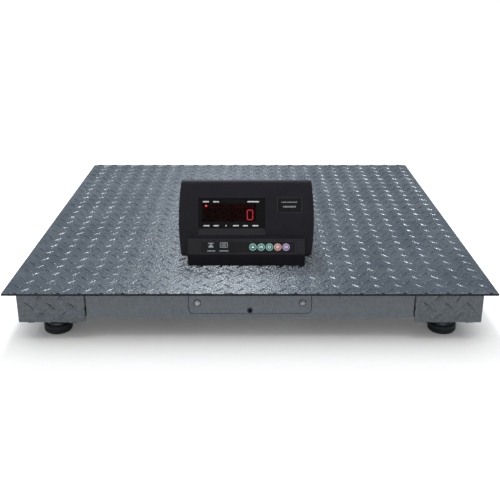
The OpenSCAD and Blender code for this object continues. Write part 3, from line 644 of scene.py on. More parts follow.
def add_lug(shape, place, keep_inside, size=1.0):
    """One lug, long along the local X axis, on a plate whose outward direction is the local Z axis."""
    def point(u, v):
        half = lug_width / 2 * (1 - abs(u) ** 1.9) ** 0.85
        crown = lug_height * (1 - abs(u) ** 5) * (1 - abs(v) ** 1.8)
        spot = Vector((u * lug_length / 2 * size, v * half, crown - lug_sink * abs(v) ** 4))
        return shape.verts.new(keep_inside(place @ spot))

    start = point(-1.0, 0.0)
    end = point(1.0, 0.0)
    rows = [[point(u, v) for v in across_lug] for u in along_lug]
    for k in range(len(across_lug) - 1):
        shape.faces.new((start, rows[0][k], rows[0][k + 1]))
        shape.faces.new((end, rows[-1][k + 1], rows[-1][k]))
        for near, far in zip(rows, rows[1:]):
            shape.faces.new((near[k], far[k], far[k + 1], near[k + 1]))


print("one lug is", round(lug_height * 1000, 2), "mm high")

# %% The whole tread
tread_pitch_x = 43.5 * mm
tread_pitch_y = 42 * mm
side_gap = 6 * mm


def tread(shape, frame_of_plate, width, height, keep_inside, seed):
    """Covers a plate, width by height from its middle, with lugs that lean both ways.
    Lugs are cut at the top and bottom edges, and end side_gap short of the side edges."""
    chance = random.Random(seed)
    columns = int(width / tread_pitch_x / 2) + 2
    rows = int(height / tread_pitch_y / 2) + 2
    reach_x = width / 2 - side_gap - 0.36 * lug_length
    reach_y = height / 2 + 0.3 * lug_length
    for lean, shift in ((-45, 0.0), (45, 0.5)):
        for i in range(-columns, columns + 1):
            for j in range(-rows, rows + 1):
                x = (i + shift) * tread_pitch_x
                y = (j + shift) * tread_pitch_y
                if abs(x) > reach_x or abs(y) > reach_y:
                    continue
                turn = math.radians(lean + chance.uniform(-1.5, 1.5))
                spot = frame_of_plate @ Matrix.Translation((x, y, 0.0)) @ Matrix.Rotation(turn, 4, "Z")
                add_lug(shape, spot, keep_inside, chance.uniform(0.96, 1.03))


def inside(low, high):
    """Holds a point between two corners of a box."""
    return lambda p: Vector([min(max(p[k], low[k]), high[k]) for k in range(3)])


deck_low, deck_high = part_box("deck_plate")
deck_size = deck_high - deck_low
on_deck = Matrix.Translation((0.0, 0.0, deck_high.z))
deck_limit = inside((deck_low.x, deck_low.y, -1.0), (deck_high.x, deck_high.y, 1.0))
deck_tread = add_piece(
    "deck_tread", lambda shape: tread(shape, on_deck, deck_size.x, deck_size.y, deck_limit, 1),
    "platform", tread_paint, smooth=True)
print("deck tread:", len(deck_tread.data.polygons), "faces")


# %% The corner plates' tread
def corner_faces():
    """For each corner plate, its two outer faces as (frame, width, height, lowest, highest point)."""
    for name in frame["nodes"]:
        if not name.startswith("corner_"):
            continue
        low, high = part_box(name)
        right = 1 if low.x > 0 else -1
        rear = 1 if low.y > 0 else -1
        middle = (low + high) / 2
        for out in (Vector((right, 0, 0)), Vector((0, rear, 0))):
            face_x = high.x if right > 0 else low.x
            face_y = high.y if rear > 0 else low.y
            centre = Vector((face_x if out.x else middle.x, face_y if out.y else middle.y, middle.z))
            up = Vector((0, 0, 1))
            along = up.cross(out)
            plate = Matrix((along, up, out)).transposed().to_4x4()
            width = (high.y - low.y) if out.x else (high.x - low.x)
            grown_low = low - Vector((abs(out.x), abs(out.y), 0)) * 0.01
            grown_high = high + Vector((abs(out.x), abs(out.y), 0)) * 0.01
            yield Matrix.Translation(centre) @ plate, width, high.z - low.z, grown_low, grown_high


def corner_tread(shape):
    for number, (plate, width, height, low, high) in enumerate(corner_faces()):
        tread(shape, plate, width, height, inside(low, high), 10 + number)


corner_lugs = add_piece("corner_tread", corner_tread, "platform", tread_paint, smooth=True)
print("corner tread:", len(corner_lugs.data.polygons), "faces")

# %% [markdown]
# ## The sheared edge
# The deck is cut from a larger sheet. A shear leaves a rough, dark face that paint hardly covers. The band
# is also made near black to paint the shade under the deck's rim, so the plate's edge reads as a dark line
# between the deck and the channels. It is a thin band all round, just proud of the solid's edge, because a
# face of a solid can't be given its own finish here.

# %% Edge band: sheared steel and painted shade
# Near black: partly the sheared face's own colour, partly painted shade from the deck's overhang.
sheared_steel_and_painted_shade = plastic("sheared edge and painted shade", (0.008, 0.009, 0.011), (0.020, 0.022, 0.026), 0.75, 0.0012, 0.0002,
                        0.0, 0.1, Specular_IOR_Level=0.12)


def edge_band_with_painted_shade(shape):
    half = deck_size.x / 2
    outer = box_outline(0, 0, 2 * half + 0.3 * mm, 2 * half + 0.3 * mm)
    inner = box_outline(0, 0, 2 * half - 0.4 * mm, 2 * half - 0.4 * mm)
    ring(shape, outer, inner, deck_low.z + 0.1 * mm, deck_high.z - 0.9 * mm, Matrix())


add_piece("deck_edge", edge_band_with_painted_shade, "platform", sheared_steel_and_painted_shade)
print("sheared edge and painted shade:", round((deck_size.z - 1.0 * mm) / mm, 1), "mm high")

# %% [markdown]
# ## Welds under the deck
# The channels and the ribs are welded to the deck in short runs, not all along, so that the plate
# doesn't warp. A bead is a row of small ripples, one for each pool of melted wire. A tube with its
# radius waving along it reads as exactly that.


# %% Weld runs
def weld_run(shape, start, end, radius=2.2 * mm, ripple=2.6 * mm):
    """A rippled bead from start to end."""
    run = Vector(end) - Vector(start)
    length = run.length
    ahead = run.normalized()
    side = ahead.cross(Vector((0, 0, 1))).normalized()
    steps = max(4, int(length / ripple * 2))
    rings = []
    for i in range(steps + 1):
        t = i / steps
        swell = 0.55 if i in (0, steps) else (1.0 if i % 2 else 0.84)
        middle = Vector(start) + ahead * (length * t)
        bead = []
        for k in range(8):
            a = math.tau * k / 8
            outwards = side * math.cos(a) + Vector((0, 0, math.sin(a)))
            bead.append(shape.verts.new(middle + radius * swell * outwards))
        rings.append(bead)
    skin(shape, rings)
    shape.faces.new(rings[0][::-1])
    shape.faces.new(rings[-1])


def weld_everything(shape):
    under = deck_low.z - 0.4 * mm
    rail_low, rail_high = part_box("front_rail")
    web = abs(rail_low.y) - 0.4 * mm
    reach = rail_high.x
    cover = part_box("junction_cover")[1].x
    run = 42 * mm
    outer = -web - 1.6 * mm
    inner = -(web - (rail_high.y - rail_low.y) - 1.0 * mm)

    def weld_along(spin, middle, y):
        start = spin @ Vector((middle - run / 2, y, under))
        end = spin @ Vector((middle + run / 2, y, under))
        weld_run(shape, start, end)

    for turn in range(4):
        spin = Matrix.Rotation(math.radians(90 * turn), 4, "Z")
        for middle in (-0.30, -0.235, -0.17, 0.17, 0.235, 0.30):
            if abs(middle) + run / 2 < reach and abs(middle) - run / 2 > cover:
                weld_along(spin, middle, outer)
        for middle in (-0.27, -0.14, 0.0, 0.14, 0.27):
            weld_along(spin, middle, inner)
    ribs_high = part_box("deck_ribs")[1]
    for x in (-0.24, -0.08, 0.08, 0.24):
        for side in (-1, 1):
            edge = x + side * 31.2 * mm
            for k in range(-3, 4):
                y = k * 0.115
                if abs(y) + run / 2 < ribs_high.y:
                    weld_run(shape, (edge, y - run / 2, under), (edge, y + run / 2, under))


welds = add_piece("welds", weld_everything, "platform", smooth_paint, smooth=True)
print("welds:", len(welds.data.polygons), "faces")

# %% [markdown]
# ## The cover's gasket
# The junction cover is pulled onto a thin rubber gasket that stands out a little all round, and its two
# screws sit on rubber seals. They are small, but their dark lines are what make the cover read as a separate
# plate. The gasket's black rim also paints the shade in the gap round the cover.

# %% Gasket, with painted gap shade
cover_low, cover_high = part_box("junction_cover")
cover_middle = (cover_low + cover_high) / 2
cover_size = cover_high - cover_low
gasket_place = Matrix(((1, 0, 0, 0), (0, 0, -1, 0), (0, 1, 0, 0), (0, 0, 0, 1)))


def gasket(shape):
    # The rim stands proud of the cover all round. It is black rubber that also paints the shade of the gap.
    proud = 1.7 * mm
    outer = box_outline(
        0, cover_middle.z - proud / 2, cover_size.x + 2 * proud, cover_size.z + proud, 9 * mm, 6)
    inner = box_outline(0, cover_middle.z, cover_size.x - 4 * mm, cover_size.z - 4 * mm, 6 * mm, 6)
    back = -cover_high.y
    ring(shape, outer, inner, back + 0.05 * mm, back + 1.1 * mm, gasket_place)


def screw_seals(shape):
    screws_low, screws_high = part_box("junction_cover_screws")
    reach = screws_high.x - 5.5 * mm
    height = (screws_low.z + screws_high.z) / 2
    for side in (-1, 1):
        outer = circle_outline(side * reach, height, 7.6 * mm)
        inner = circle_outline(side * reach, height, 5.2 * mm)
        ring(shape, outer, inner, -cover_low.y - 0.1 * mm, -cover_low.y + 0.7 * mm, gasket_place)


add_piece("cover_gasket_and_painted_gap_shade", gasket, "platform", rubber)
add_piece("screw_seals", screw_seals, "platform", rubber)
print("gasket round a cover", round(cover_size.x * 1000), "mm wide")

# %% [markdown]
# ## Levelling feet
# The solid stud is a plain pin. The real one is an M12 screw, so this piece stands for it: the cup
# and neck are turned on a lathe, the hexagon is a prism with its corners chamfered, and the thread is
# a tube whose radius follows a zigzag that climbs one pitch in each turn.

# %% Stud with a real thread
thread_pitch = 1.75 * mm
thread_root = 5.15 * mm
thread_crest = 5.95 * mm


def thread(shape, centre, low, high, around=24, per_pitch=6):
    """A right-hand screw thread round the Z axis through centre."""
    count = int((high - low) / thread_pitch * per_pitch)
    rings = []
    for i in range(count + 1):
        z = low + (high - low) * i / count
        points = []
        for k in range(around):
            phase = (z / thread_pitch - k / around) % 1.0
            radius = thread_root + (thread_crest - thread_root) * min(1.0, 2.4 * min(phase, 1 - phase))
            a = math.tau * k / around
            points.append(shape.verts.new(centre + polar(radius, a, z)))
        rings.append(points)
    skin(shape, rings)
    shape.faces.new(rings[-1])


def hexagon(shape, centre, low, high, across_flats, chamfer=1.0 * mm):
    """A hexagon with its top and bottom corners turned down, as on a nut."""
    corner = across_flats / math.sqrt(3)
    face = across_flats / 2
    levels = ((low, face), (low + chamfer, corner), (high - chamfer, corner), (high, face))
    rings = []
    for z, radius in levels:
        points = []
        for k in range(24):
            a = math.tau * k / 24
            flat = face / math.cos((a + math.pi / 6) % (math.pi / 3) - math.pi / 6)
            points.append(shape.verts.new(centre + polar(min(flat, radius), a, z)))
        rings.append(points)
    skin(shape, rings)
    shape.faces.new(rings[-1])
    shape.faces.new(rings[0][::-1])


def stud(corner):
    """The whole stud of one foot, in place of its solid."""
    low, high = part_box("foot_stud_" + corner)
    ball_low, ball_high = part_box("foot_ball_" + corner)
    nuts_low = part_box("foot_lock_nuts")[0].z
    middle = (ball_low + ball_high) / 2
    axis = Vector((middle.x, middle.y, 0.0))
    hollow = (ball_high.x - ball_low.x) / 2 + 0.3 * mm
    hex_low = nuts_low - 12.3 * mm
    hex_high = nuts_low - 0.3 * mm

    def build(shape):
        profile = []
        rim = math.asin((low.z - middle.z) / hollow)
        for k in range(9):
            a = math.radians(90) + (rim - math.radians(90)) * k / 8
            profile.append((hollow * math.cos(a) if k else 0.0, middle.z + hollow * math.sin(a)))
        cup = 10.5 * mm
        neck = 8.0 * mm
        top = low.z + 10 * mm
        profile += [(cup - 0.6 * mm, low.z), (cup, low.z + 0.6 * mm), (cup, top - 1.6 * mm),
                    (cup - 0.5 * mm, top - 0.6 * mm), (neck + 0.6 * mm, top), (neck, top + 0.8 * mm),
                    (neck, hex_low)]
        lathe(shape, profile, axis)
        hexagon(shape, axis, hex_low, hex_high, 19 * mm)
        thread(shape, axis, hex_high, high.z)

    piece = add_piece("stud_" + corner, build, "stud_" + corner, bare_steel, smooth=True)
    for face in piece.data.polygons:
        centre = face.center
        face.use_smooth = not hex_low - 1e-6 < centre.z < hex_high + 1e-6
    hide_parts("foot_stud_" + corner)


corners = [name[len("foot_pad_"):] for name in frame["nodes"] if name.startswith("foot_pad_")]
for corner in corners:
    stud(corner)
print("studs:", len(corners))

# %% [markdown]
# ## Leads and clips
# Four thin leads run from the load cells to the junction box, clipped to the outer ribs. A curve
# with a round bevel is the natural way to draw a cable: its route is a list of corners, each turned
# into an arc, and the thickness is one number.

# %% Lead routes
leads_low, leads_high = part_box("load_cell_leads")
lead_z = (leads_low.z + leads_high.z) / 2
cell_end = 324 * mm
outer_x = 290 * mm
inner_x = 277 * mm
front_y = -424 * mm
rear_y = -411 * mm
entry_x = 81 * mm


def rounded_route(corners, radius=14 * mm, steps=6):
    """The corners of a flat route, each turned into an arc."""
    points = [Vector(corners[0])]
    for before, here, after in zip(corners, corners[1:], corners[2:]):
        here = Vector(here)
        back = (Vector(before) - here).normalized()
        on = (Vector(after) - here).normalized()
        half = back.angle(on) / 2
        reach = radius / math.tan(half)
        for k in range(steps + 1):
            t = k / steps
            bend = (back * (1 - t) ** 2 + on * t ** 2) * reach
            points.append(here + bend)
    points.append(Vector(corners[-1]))
    return points


def tube(name, points, radius, body, material):
    """A round cable along points."""
    data = bpy.data.curves.new(name, "CURVE")
    data.dimensions = "3D"
    data.bevel_depth = radius
    data.bevel_resolution = 4
    data.use_fill_caps = True
    line = data.splines.new("POLY")
    line.points.add(len(points) - 1)
    for spot, point in zip(line.points, points):
        spot.co = (*point, 1.0)
    line.use_smooth = True
    data.materials.append(material)
    piece = bpy.data.objects.new(name, data)
    scene.collection.objects.link(piece)
    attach(piece, body)
    return piece


leads = []
for side, hand in ((-1, "left"), (1, "right")):
    front = [(cell_end, -cell_end), (outer_x, -outer_x), (outer_x, front_y), (entry_x, front_y)]
    rear = [(cell_end, cell_end), (inner_x, inner_x), (inner_x, rear_y), (entry_x, rear_y)]
    for end, route in (("front", front), ("rear", rear)):
        corners_of_route = [(side * x, y, lead_z) for x, y in route]
        leads.append(tube("lead_%s_%s" % (end, hand), rounded_route(corners_of_route), 2.5 * mm,
                          "platform", lead_jacket))
for lead in leads:
    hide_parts("load_cell_leads")
print("leads:", len(leads))

# %% Clips on the ribs
rib_face = 270 * mm


def lead_clip(shape, side, y):
    """A strap round both leads, with a tab that is screwed to the rib's side."""
    wide = 10 * mm
    thick = 0.9 * mm
    inner_r = 3.0 * mm
    place = Matrix(((side, 0, 0, 0), (0, 0, 1, y - wide / 2), (0, 1, 0, lead_z), (0, 0, 0, 1)))
    x0, x1 = inner_x, outer_x

    def stadium(radius):
        right = [(x1 + radius * math.cos(a), radius * math.sin(a))
                 for a in (math.radians(-90 + 18 * k) for k in range(11))]
        left = [(x0 + radius * math.cos(a), radius * math.sin(a))
                for a in (math.radians(90 + 18 * k) for k in range(11))]
        return right + left

    ring(shape, stadium(inner_r + thick), stadium(inner_r), 0.0, wide, place)
    foot_out = rib_face + thick
    tab = [(rib_face, inner_r), (x0, inner_r), (x0, inner_r + thick), (foot_out, inner_r + thick),
           (foot_out, 14 * mm), (rib_face, 14 * mm)]
    prism(shape, tab, 0.0, wide, place)
    head = Matrix((
        (0, 0, side, side * foot_out), (1, 0, 0, y), (0, 1, 0, lead_z + 9 * mm), (0, 0, 0, 1)))
    prism(shape, circle_outline(0, 0, 3.6 * mm, 16), 0.0, 1.6 * mm, head)


def all_clips(shape):
    for side in (-1, 1):
        for y in (-0.33, -0.15, 0.03, 0.21):
            lead_clip(shape, side, y)


clips = add_piece("lead_clips", all_clips, "platform", bare_steel, bevel=0.15 * mm)
print("clips:", len(clips.data.polygons), "faces")

# %% [markdown]
# ## Potting in the load cells
# The strain gauges sit in a round well on each side of a load cell, sealed with pale silicone. It
# sets with a sunken middle and a raised rim, so it is turned on a lathe and not left flat.

# %% Potting
def potted_wells(shape):
    deep = 2.2 * mm
    for corner in corners:
        low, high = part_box("load_cell_" + corner)
        right = 1 if low.x > 0 else -1
        rear = 1 if low.y > 0 else -1
        along = Vector((-right, -rear, 0)).normalized()
        loading = Vector((right, rear, 0)) * foot_centre
        beam_middle = loading + along * gauge_place
        for side in (-1, 1):
            out = Vector((-along.y, along.x, 0)) * side
            spin = Vector((0, 0, 1)).rotation_difference(out).to_matrix()
            floor_of_well = beam_middle + out * (beam_half - 3 * mm) + Vector((0, 0, lead_z))
            before = len(shape.verts)
            lathe(shape, [(0, deep - 0.9 * mm), (6 * mm, deep - 0.7 * mm), (10 * mm, deep - 0.2 * mm),
                          (11.4 * mm, deep), (11.9 * mm, deep - 0.4 * mm), (11.9 * mm, 0)], Vector(), 28)
            shape.verts.ensure_lookup_table()
            for vert in shape.verts[before:]:
                vert.co = floor_of_well + spin @ vert.co


foot_low, foot_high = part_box("foot_pad_front_right")
foot_centre = (foot_low.x + foot_high.x) / 2
beam_half = 15.9 * mm
gauge_place = 38.15 * mm
potting_discs = add_piece("gauge_potting", potted_wells, "platform", potting, smooth=True)
print("potting:", len(potting_discs.data.polygons), "faces")

# %% [markdown]
# ## The indicator's two sloping faces
# The display leans back 22 degrees and the key bar lies at 55 degrees, so nothing on them is square
# to the axes. A matrix for each face turns that round: its X axis runs across, its Y axis up the
# slope and its Z axis straight out of the face. Marks are then drawn flat, in millimetres.

# %% Face matrices
front_low, front_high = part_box("indicator_front_shell")
stand_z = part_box("indicator_feet")[0].z
indicator_corner = Vector(((front_low.x + front_high.x) / 2, front_low.y, stand_z))


def sloping_face(start_y, start_z, slope):
    """A face that starts at this place, in millimetres from the lip, and rises at this angle."""
    a = math.radians(slope)
    turn = Matrix(((1, 0, 0), (0, math.cos(a), -math.sin(a)), (0, math.sin(a), math.cos(a)))).to_4x4()
    start = indicator_corner + Vector((0, start_y, start_z)) * mm
    return Matrix.Translation(start) @ turn @ Matrix.Scale(mm, 4)


display_face = sloping_face(27.4, 13.5, 68)
key_face = sloping_face(0, 29.5, 55)
rear_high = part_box("indicator_rear_shell")[1]
rear_face = Matrix(((-mm, 0, 0, indicator_corner.x), (0, 0, mm, rear_high.y),
                    (0, mm, 0, stand_z), (0, 0, 0, 1)))
print("indicator stands at", tuple(round(v, 4) for v in indicator_corner))

# %% [markdown]
# ## The printed border and its marks
# The back of such a window is printed black round the edges, which leaves a clear panel for the
# digits. The border is a thin ring of glossy ink. On the real one, words name the functions; here
# short dashes stand for them, so the marks are generic.

# %% The window's print
window_across, window_up = (-31.8, 95.7), (146.6, 66.2)
pane_front = -4.0
ring_low, ring_high = pane_front + 0.02, pane_front + 0.12


def window_border(shape):
    outer = box_outline(*window_across, *window_up, 0.5, 4)
    inner = box_outline(-37.8, 97.2, 119.0, 39.6, 2.5, 4)
    ring(shape, outer, inner, ring_low, ring_high, display_face)


add_piece("window_border", window_border, "indicator", black_ink)

word_height = 3.0
word_step = 2.75


def word(shape, start, end, up, face, level, height=word_height, step=word_step, thick=0.06):
    """A row of short blocks from start to end, in place of a word."""
    count = max(1, round((end - start) / step))
    pitch = (end - start) / count
    for i in range(count):
        tall = height * (1.0 if i % 3 else 0.8)
        block = box_outline(start + pitch * (i + 0.5), up, pitch * 0.74, tall, 0.3, 2)
        prism(shape, block, level, level + thick, face)


upper_words = ((-95.7, -82.5), (-73.7, -60.6), (2.1, 28.5))
lower_words = ((-94.6, -81.4), (-72.6, -60.6), (-46.3, -43.0), (-29.8, -16.6), (-7.8, 3.2), (13.1, 26.3))


def window_words(shape):
    for words, level in ((upper_words, 121.3), (lower_words, 68.4)):
        for start, end in words:
            word(shape, start, end, level, display_face, ring_high)


add_piece("window_marks", window_words, "indicator", white_ink)
print("window print and marks")

# %% [markdown]
# ## Digits
# Each digit is seven bars with pointed ends, and a round dot. Only the last digit is lit, and shows a
# nought: six of its bars glow and the middle one stays dark. The bars lie just in front of the black
# modules, behind the red pane.

# %% Seven segments
digit_pitch, last_digit_x, digit_middle = 19.8, 7.9, 92.5
digit_width, digit_height, stroke = 13.8, 23.2, 2.0
segment_low, segment_high = -6.45, -6.2


def bar(x0, y0, x1, y1):
    """A bar from one point to another, pointed at both ends."""
    ahead = Vector((x1 - x0, y1 - y0)).normalized()
    side = Vector((-ahead.y, ahead.x)) * stroke / 2
    start = Vector((x0, y0)) + ahead * 0.25
    end = Vector((x1, y1)) - ahead * 0.25
    tip = ahead * stroke / 2
    return [start, start + tip - side, end - tip - side, end, end - tip + side, start + tip + side]


def segments(place_x):
    """The seven bars of a digit: top, two right, bottom, two left, middle."""
    x0 = place_x - (digit_width - stroke) / 2
    x1 = place_x + (digit_width - stroke) / 2
    y0 = digit_middle - (digit_height - stroke) / 2
    y1 = digit_middle + (digit_height - stroke) / 2
    ym = digit_middle
    return [bar(x0, y1, x1, y1), bar(x1, ym, x1, y1), bar(x1, y0, x1, ym), bar(x0, y0, x1, y0),
            bar(x0, y0, x0, ym), bar(x0, ym, x0, y1), bar(x0, ym, x1, ym)]


nought = {0, 1, 2, 3, 4, 5}


def dark_bars(shape):
    for i in range(6):
        place_x = last_digit_x - i * digit_pitch
        for k, outline in enumerate(segments(place_x)):
            if i > 0 or k not in nought:
                prism(shape, outline, segment_low, segment_high, display_face)
        dot = circle_outline(place_x + digit_width / 2 + 0.7, digit_middle - digit_height / 2 + 1.0, 1.1, 14)
        prism(shape, dot, segment_low, segment_high, display_face)


def lit_bars(shape):
    for k, outline in enumerate(segments(last_digit_x)):
        if k in nought:
            prism(shape, outline, segment_low, segment_high, display_face)


add_piece("segments_dark", dark_bars, "indicator", unlit)
add_piece("segments_lit", lit_bars, "indicator", lit)


def lamp_dot(shape):
    for radius, low, high in ((1.7, segment_low, segment_high), (1.2, segment_high, segment_high + 0.1)):
        prism(shape, circle_outline(-88.7, 112.5, radius, 20), low, high, display_face)


add_piece("lamp_dot", lamp_dot, "indicator", lamp_light)
print("digits: six, the last one lit")

# %% [markdown]
# ## Keys and keypad film
# A key is a pale ring round a darker face with a white sign: the cap is a paler copy of its face's colour,
# which paints a highlight round each key's rim. The film left of them has two small pictures with short
# blocks under each. All signs here are generic: an arrow, bars, a ring, dashes and a frame on the keys, a
# weighing pan and a page on the film.

# %% Key faces
key_names = sorted(name for name in frame["nodes"] if name.startswith("key_") and name[-1].isdigit())
key_first_x, key_pitch, key_up, key_top = 14.2, 17.9, 16.5, 1.0
face_finish = {"key_green": face_green, "key_red": face_red, "key_purple": face_purple}


def key_disc(x):
    """A key's slightly domed inner face."""
    def build(shape):
        place = key_face @ Matrix.Translation((x, key_up, key_top))
        rings = []
        for radius, height in ((6.3, 0.0), (6.2, 0.14), (4.6, 0.24), (2.4, 0.29)):
            rings.append([shape.verts.new(place @ Vector((px, py, height)))
                          for px, py in circle_outline(0, 0, radius, 28)])
        skin(shape, rings)
        shape.faces.new(rings[-1])
    return build


arrow_sign = ((-3.4, -2.0), (3.4, -2.0), (0, 2.6))
sign_thick = 0.08


def key_sign(number, x):
    """A small white sign, a different one for each key."""
    def build(shape):
        place = key_face @ Matrix.Translation((x, key_up, key_top + 0.28))
        if number == 0:
            prism(shape, arrow_sign, 0.0, sign_thick, place)
        elif number == 1:
            for x0 in (-2.6, 0.0, 2.6):
                prism(shape, box_outline(x0, 0, 1.4, 4.8, 0.3, 2), 0.0, sign_thick, place)
        elif number == 2:
            ring(shape, circle_outline(0, 0, 3.1), circle_outline(0, 0, 2.0), 0.0, sign_thick, place)
        elif number == 3:
            for y0 in (-1.7, 1.7):
                prism(shape, box_outline(0, y0, 6.4, 1.4, 0.3, 2), 0.0, sign_thick, place)
        else:
            outer = box_outline(0, 0, 6.2, 4.8, 0.8, 3)
            ring(shape, outer, box_outline(0, 0, 4.2, 2.8, 0.4, 3), 0.0, sign_thick, place)
    return build


for number, name in enumerate(key_names):
    x = key_first_x + number * key_pitch
    tint = slot_of[name]
    add_piece(name + "_face", key_disc(x), name + "_cap", face_finish[tint], smooth=True)
    add_piece(name + "_sign", key_sign(number, x), name + "_cap", white_ink)
print("keys:", len(key_names))

# %% Pictures on the film
film_top = -0.2
film_print = film_top + 0.06


def thin_line(shape, points, width, level, face, thick=0.06):
    """Short straight strips from point to point."""
    for a, b in zip(points, points[1:]):
        a, b = Vector(a), Vector(b)
        side = (b - a).normalized()
        side = Vector((-side.y, side.x)) * width / 2
        prism(shape, [a - side, b - side, b + side, a + side], level, level + thick, face)


weighing_pan = ((-83.5, 24.2), (-69.5, 24.2), (-71.5, 26.2), (-81.5, 26.2))
pan_stand = ((-82.5, 15.6), (-70.5, 15.6), (-73.0, 20.8), (-80.0, 20.8))


def film_pictures(shape):
    # A weighing pan on its stand
    prism(shape, weighing_pan, film_top, film_print, key_face)
    thin_line(shape, [(-76.5, 24.2), (-76.5, 20.6)], 2.4, film_top, key_face)
    prism(shape, pan_stand, film_top, film_print, key_face)
    # A page with three lines
    page = box_outline(-48.5, 21.0, 17.0, 11.5, 2.0, 4)
    ring(shape, page, box_outline(-48.5, 21.0, 14.6, 9.1, 1.2, 4), film_top, film_print, key_face)
    for up in (18.6, 21.0, 23.4):
        thin_line(shape, [(-53.5, up), (-43.5, up)], 1.2, film_top, key_face)
    for start, end in ((-84.7, -67.1), (-58.4, -38.6)):
        word(shape, start, end, 8.2, key_face, film_top, 2.6, 3.2)


def film_rules(shape):
    outer = box_outline(3.0, 16.5, 206.0, 27.2, 2.0, 4)
    ring(shape, outer, box_outline(3.0, 16.5, 205.2, 26.4, 1.6, 4), film_top, film_top + 0.04, key_face)


add_piece("film_pictures", film_pictures, "indicator", grey_ink)
add_piece("film_rules", film_rules, "indicator", faint_ink)


label_middle = (95.0, 113.5)
label_top = -0.42


def label_plate(shape):
    prism(shape, box_outline(*label_middle, 54.4, 33.4, 1.0, 3), -0.6, label_top, display_face)


def label_edge(shape):
    outer = box_outline(*label_middle, 54.0, 33.0, 1.0, 3)
    inner = box_outline(*label_middle, 53.0, 32.0, 0.8, 3)
    ring(shape, outer, inner, label_top, -0.38, display_face)


def label_dashes(shape):
    word(shape, 76.0, 112.0, 120.0, display_face, label_top, 2.2, 4.2)
    word(shape, 80.0, 109.0, 110.0, display_face, label_top, 3.6, 3.6)


add_piece("label_plate", label_plate, "indicator", label_film)
add_piece("label_edge", label_edge, "indicator", faint_ink)
add_piece("label_dashes", label_dashes, "indicator", grey_ink)
print("film and label marks")

# %% [markdown]
# ## The back of the indicator
# The sockets, the switch and the battery door are what a person looks for behind. The sockets get
# their dark insulator, a raised metal rim and nine pin holes; the switch gets the usual line and
# circle; the door gets ribs to grip.

# %% Sockets, switch and door
socket_face = 6.2
socket_middles = (-22.0, -62.0)
socket_up = 95.0
pin_pitch = 2.6
insulator_top = socket_face + 0.25
socket_shape = [(-8.3, -4.0), (8.3, -4.0), (7.4, 4.0), (-7.4, 4.0)]


def shrunk(outline, factor):
    return [(x * factor, y * factor) for x, y in outline]


def at(outline, x, y):
    return [(px + x, py + y) for px, py in outline]


def socket_insulators(shape):
    for x in socket_middles:
        inner = at(shrunk(socket_shape, 0.86), x, socket_up)
        prism(shape, inner, socket_face, insulator_top, rear_face)


def socket_rims(shape):
    for x in socket_middles:
        inner = at(shrunk(socket_shape, 0.9), x, socket_up)
        ring(shape, at(socket_shape, x, socket_up), inner, socket_face, socket_face + 0.6, rear_face)


def socket_holes(shape):
    for x in socket_middles:
        for row, count in ((1.42, 5), (-1.42, 4)):
            for k in range(count):
                px = x + (k - (count - 1) / 2) * pin_pitch
                outer = circle_outline(px, socket_up - row, 0.75, 12)
                inner = circle_outline(px, socket_up - row, 0.38, 12)
                ring(shape, outer, inner, insulator_top, socket_face + 0.4, rear_face)


add_piece("socket_insulators", socket_insulators, "indicator", insulator)
add_piece("socket_rims", socket_rims, "indicator", bare_steel)
add_piece("socket_contacts", socket_holes, "indicator", bare_steel)

rocker_low, rocker_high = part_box("power_rocker")
rocker_x = (rocker_low.x + rocker_high.x) / 2
rocker_axis = Vector((rocker_x, rear_high.y - 6.5 * mm, stand_z + 95 * mm))


def rocker_side(tilt):
    """The plane of one half of the rocker, 6.8 mm from its pin."""
    turn = Matrix.Rotation(math.radians(tilt), 4, "X")
    outwards = Matrix(((-mm, 0, 0, 0), (0, 0, mm, 6.8 * mm), (0, mm, 0, 0), (0, 0, 0, 1)))
    return Matrix.Translation(rocker_axis) @ turn @ outwards


def rocker_marks(shape):
    prism(shape, box_outline(0, 3.6, 0.9, 3.4), 0.02, 0.1, rocker_side(0))
    outer = circle_outline(0, -3.8, 1.8, 20)
    inner = circle_outline(0, -3.8, 1.1, 20)
    ring(shape, outer, inner, 0.02, 0.1, rocker_side(-18))


add_piece("rocker_marks", rocker_marks, "rocker", white_ink)
door_low, door_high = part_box("battery_door")
door_x = -((door_low.x + door_high.x) / 2 - indicator_corner.x) / mm
door_out = (door_high.y - rear_high.y) / mm


def door_ribs(shape):
    for k in range(7):
        rib = box_outline(door_x, 66.0 - 3.2 * k, 46.0, 1.5, 0.7, 3)
        prism(shape, rib, door_out, door_out + 0.8, rear_face)


add_piece("door_ribs", door_ribs, "door", housing, bevel=0.2 * mm)
print("rear: sockets, switch marks and door ribs")

# %% [markdown]
# ## Floor and light
# A plain pale floor runs far enough back to fill the view. A studio lights such a scale with large
# soft lamps, because its paint is glossy and a small lamp would burn one hot spot into it. The
# sky is a gradient, pale at the horizon, dark above it and brightest overhead. One lamp stands low
# behind the deck: its reflection glides over the paint towards the viewer and shows the tread.

# %% The floor
floor_finish, tree, shader = new_material(
    "pale floor", 0.9, Specular_IOR_Level=0.1, Emission_Color=(1.0, 1.0, 1.0, 1.0), Emission_Strength=0.08)
texture = place_group(tree, fine_grain, Size=0.004)
tree.links.new(mix_colour(tree, texture["Tone"], (0.97, 0.93, 0.89), (0.98, 0.95, 0.91)),
               shader.inputs["Base Color"])
floor_mesh = bpy.data.meshes.new("floor")
floor_half = 40.0
floor_mesh.from_pydata(
    [(-floor_half, -floor_half, 0), (floor_half, -floor_half, 0), (floor_half, floor_half, 0),
     (-floor_half, floor_half, 0)], [], [(0, 1, 2, 3)])
floor_mesh.materials.append(floor_finish)
floor = bpy.data.objects.new("floor", floor_mesh)
scene.collection.objects.link(floor)
print("floor:", 2 * floor_half, "m square")

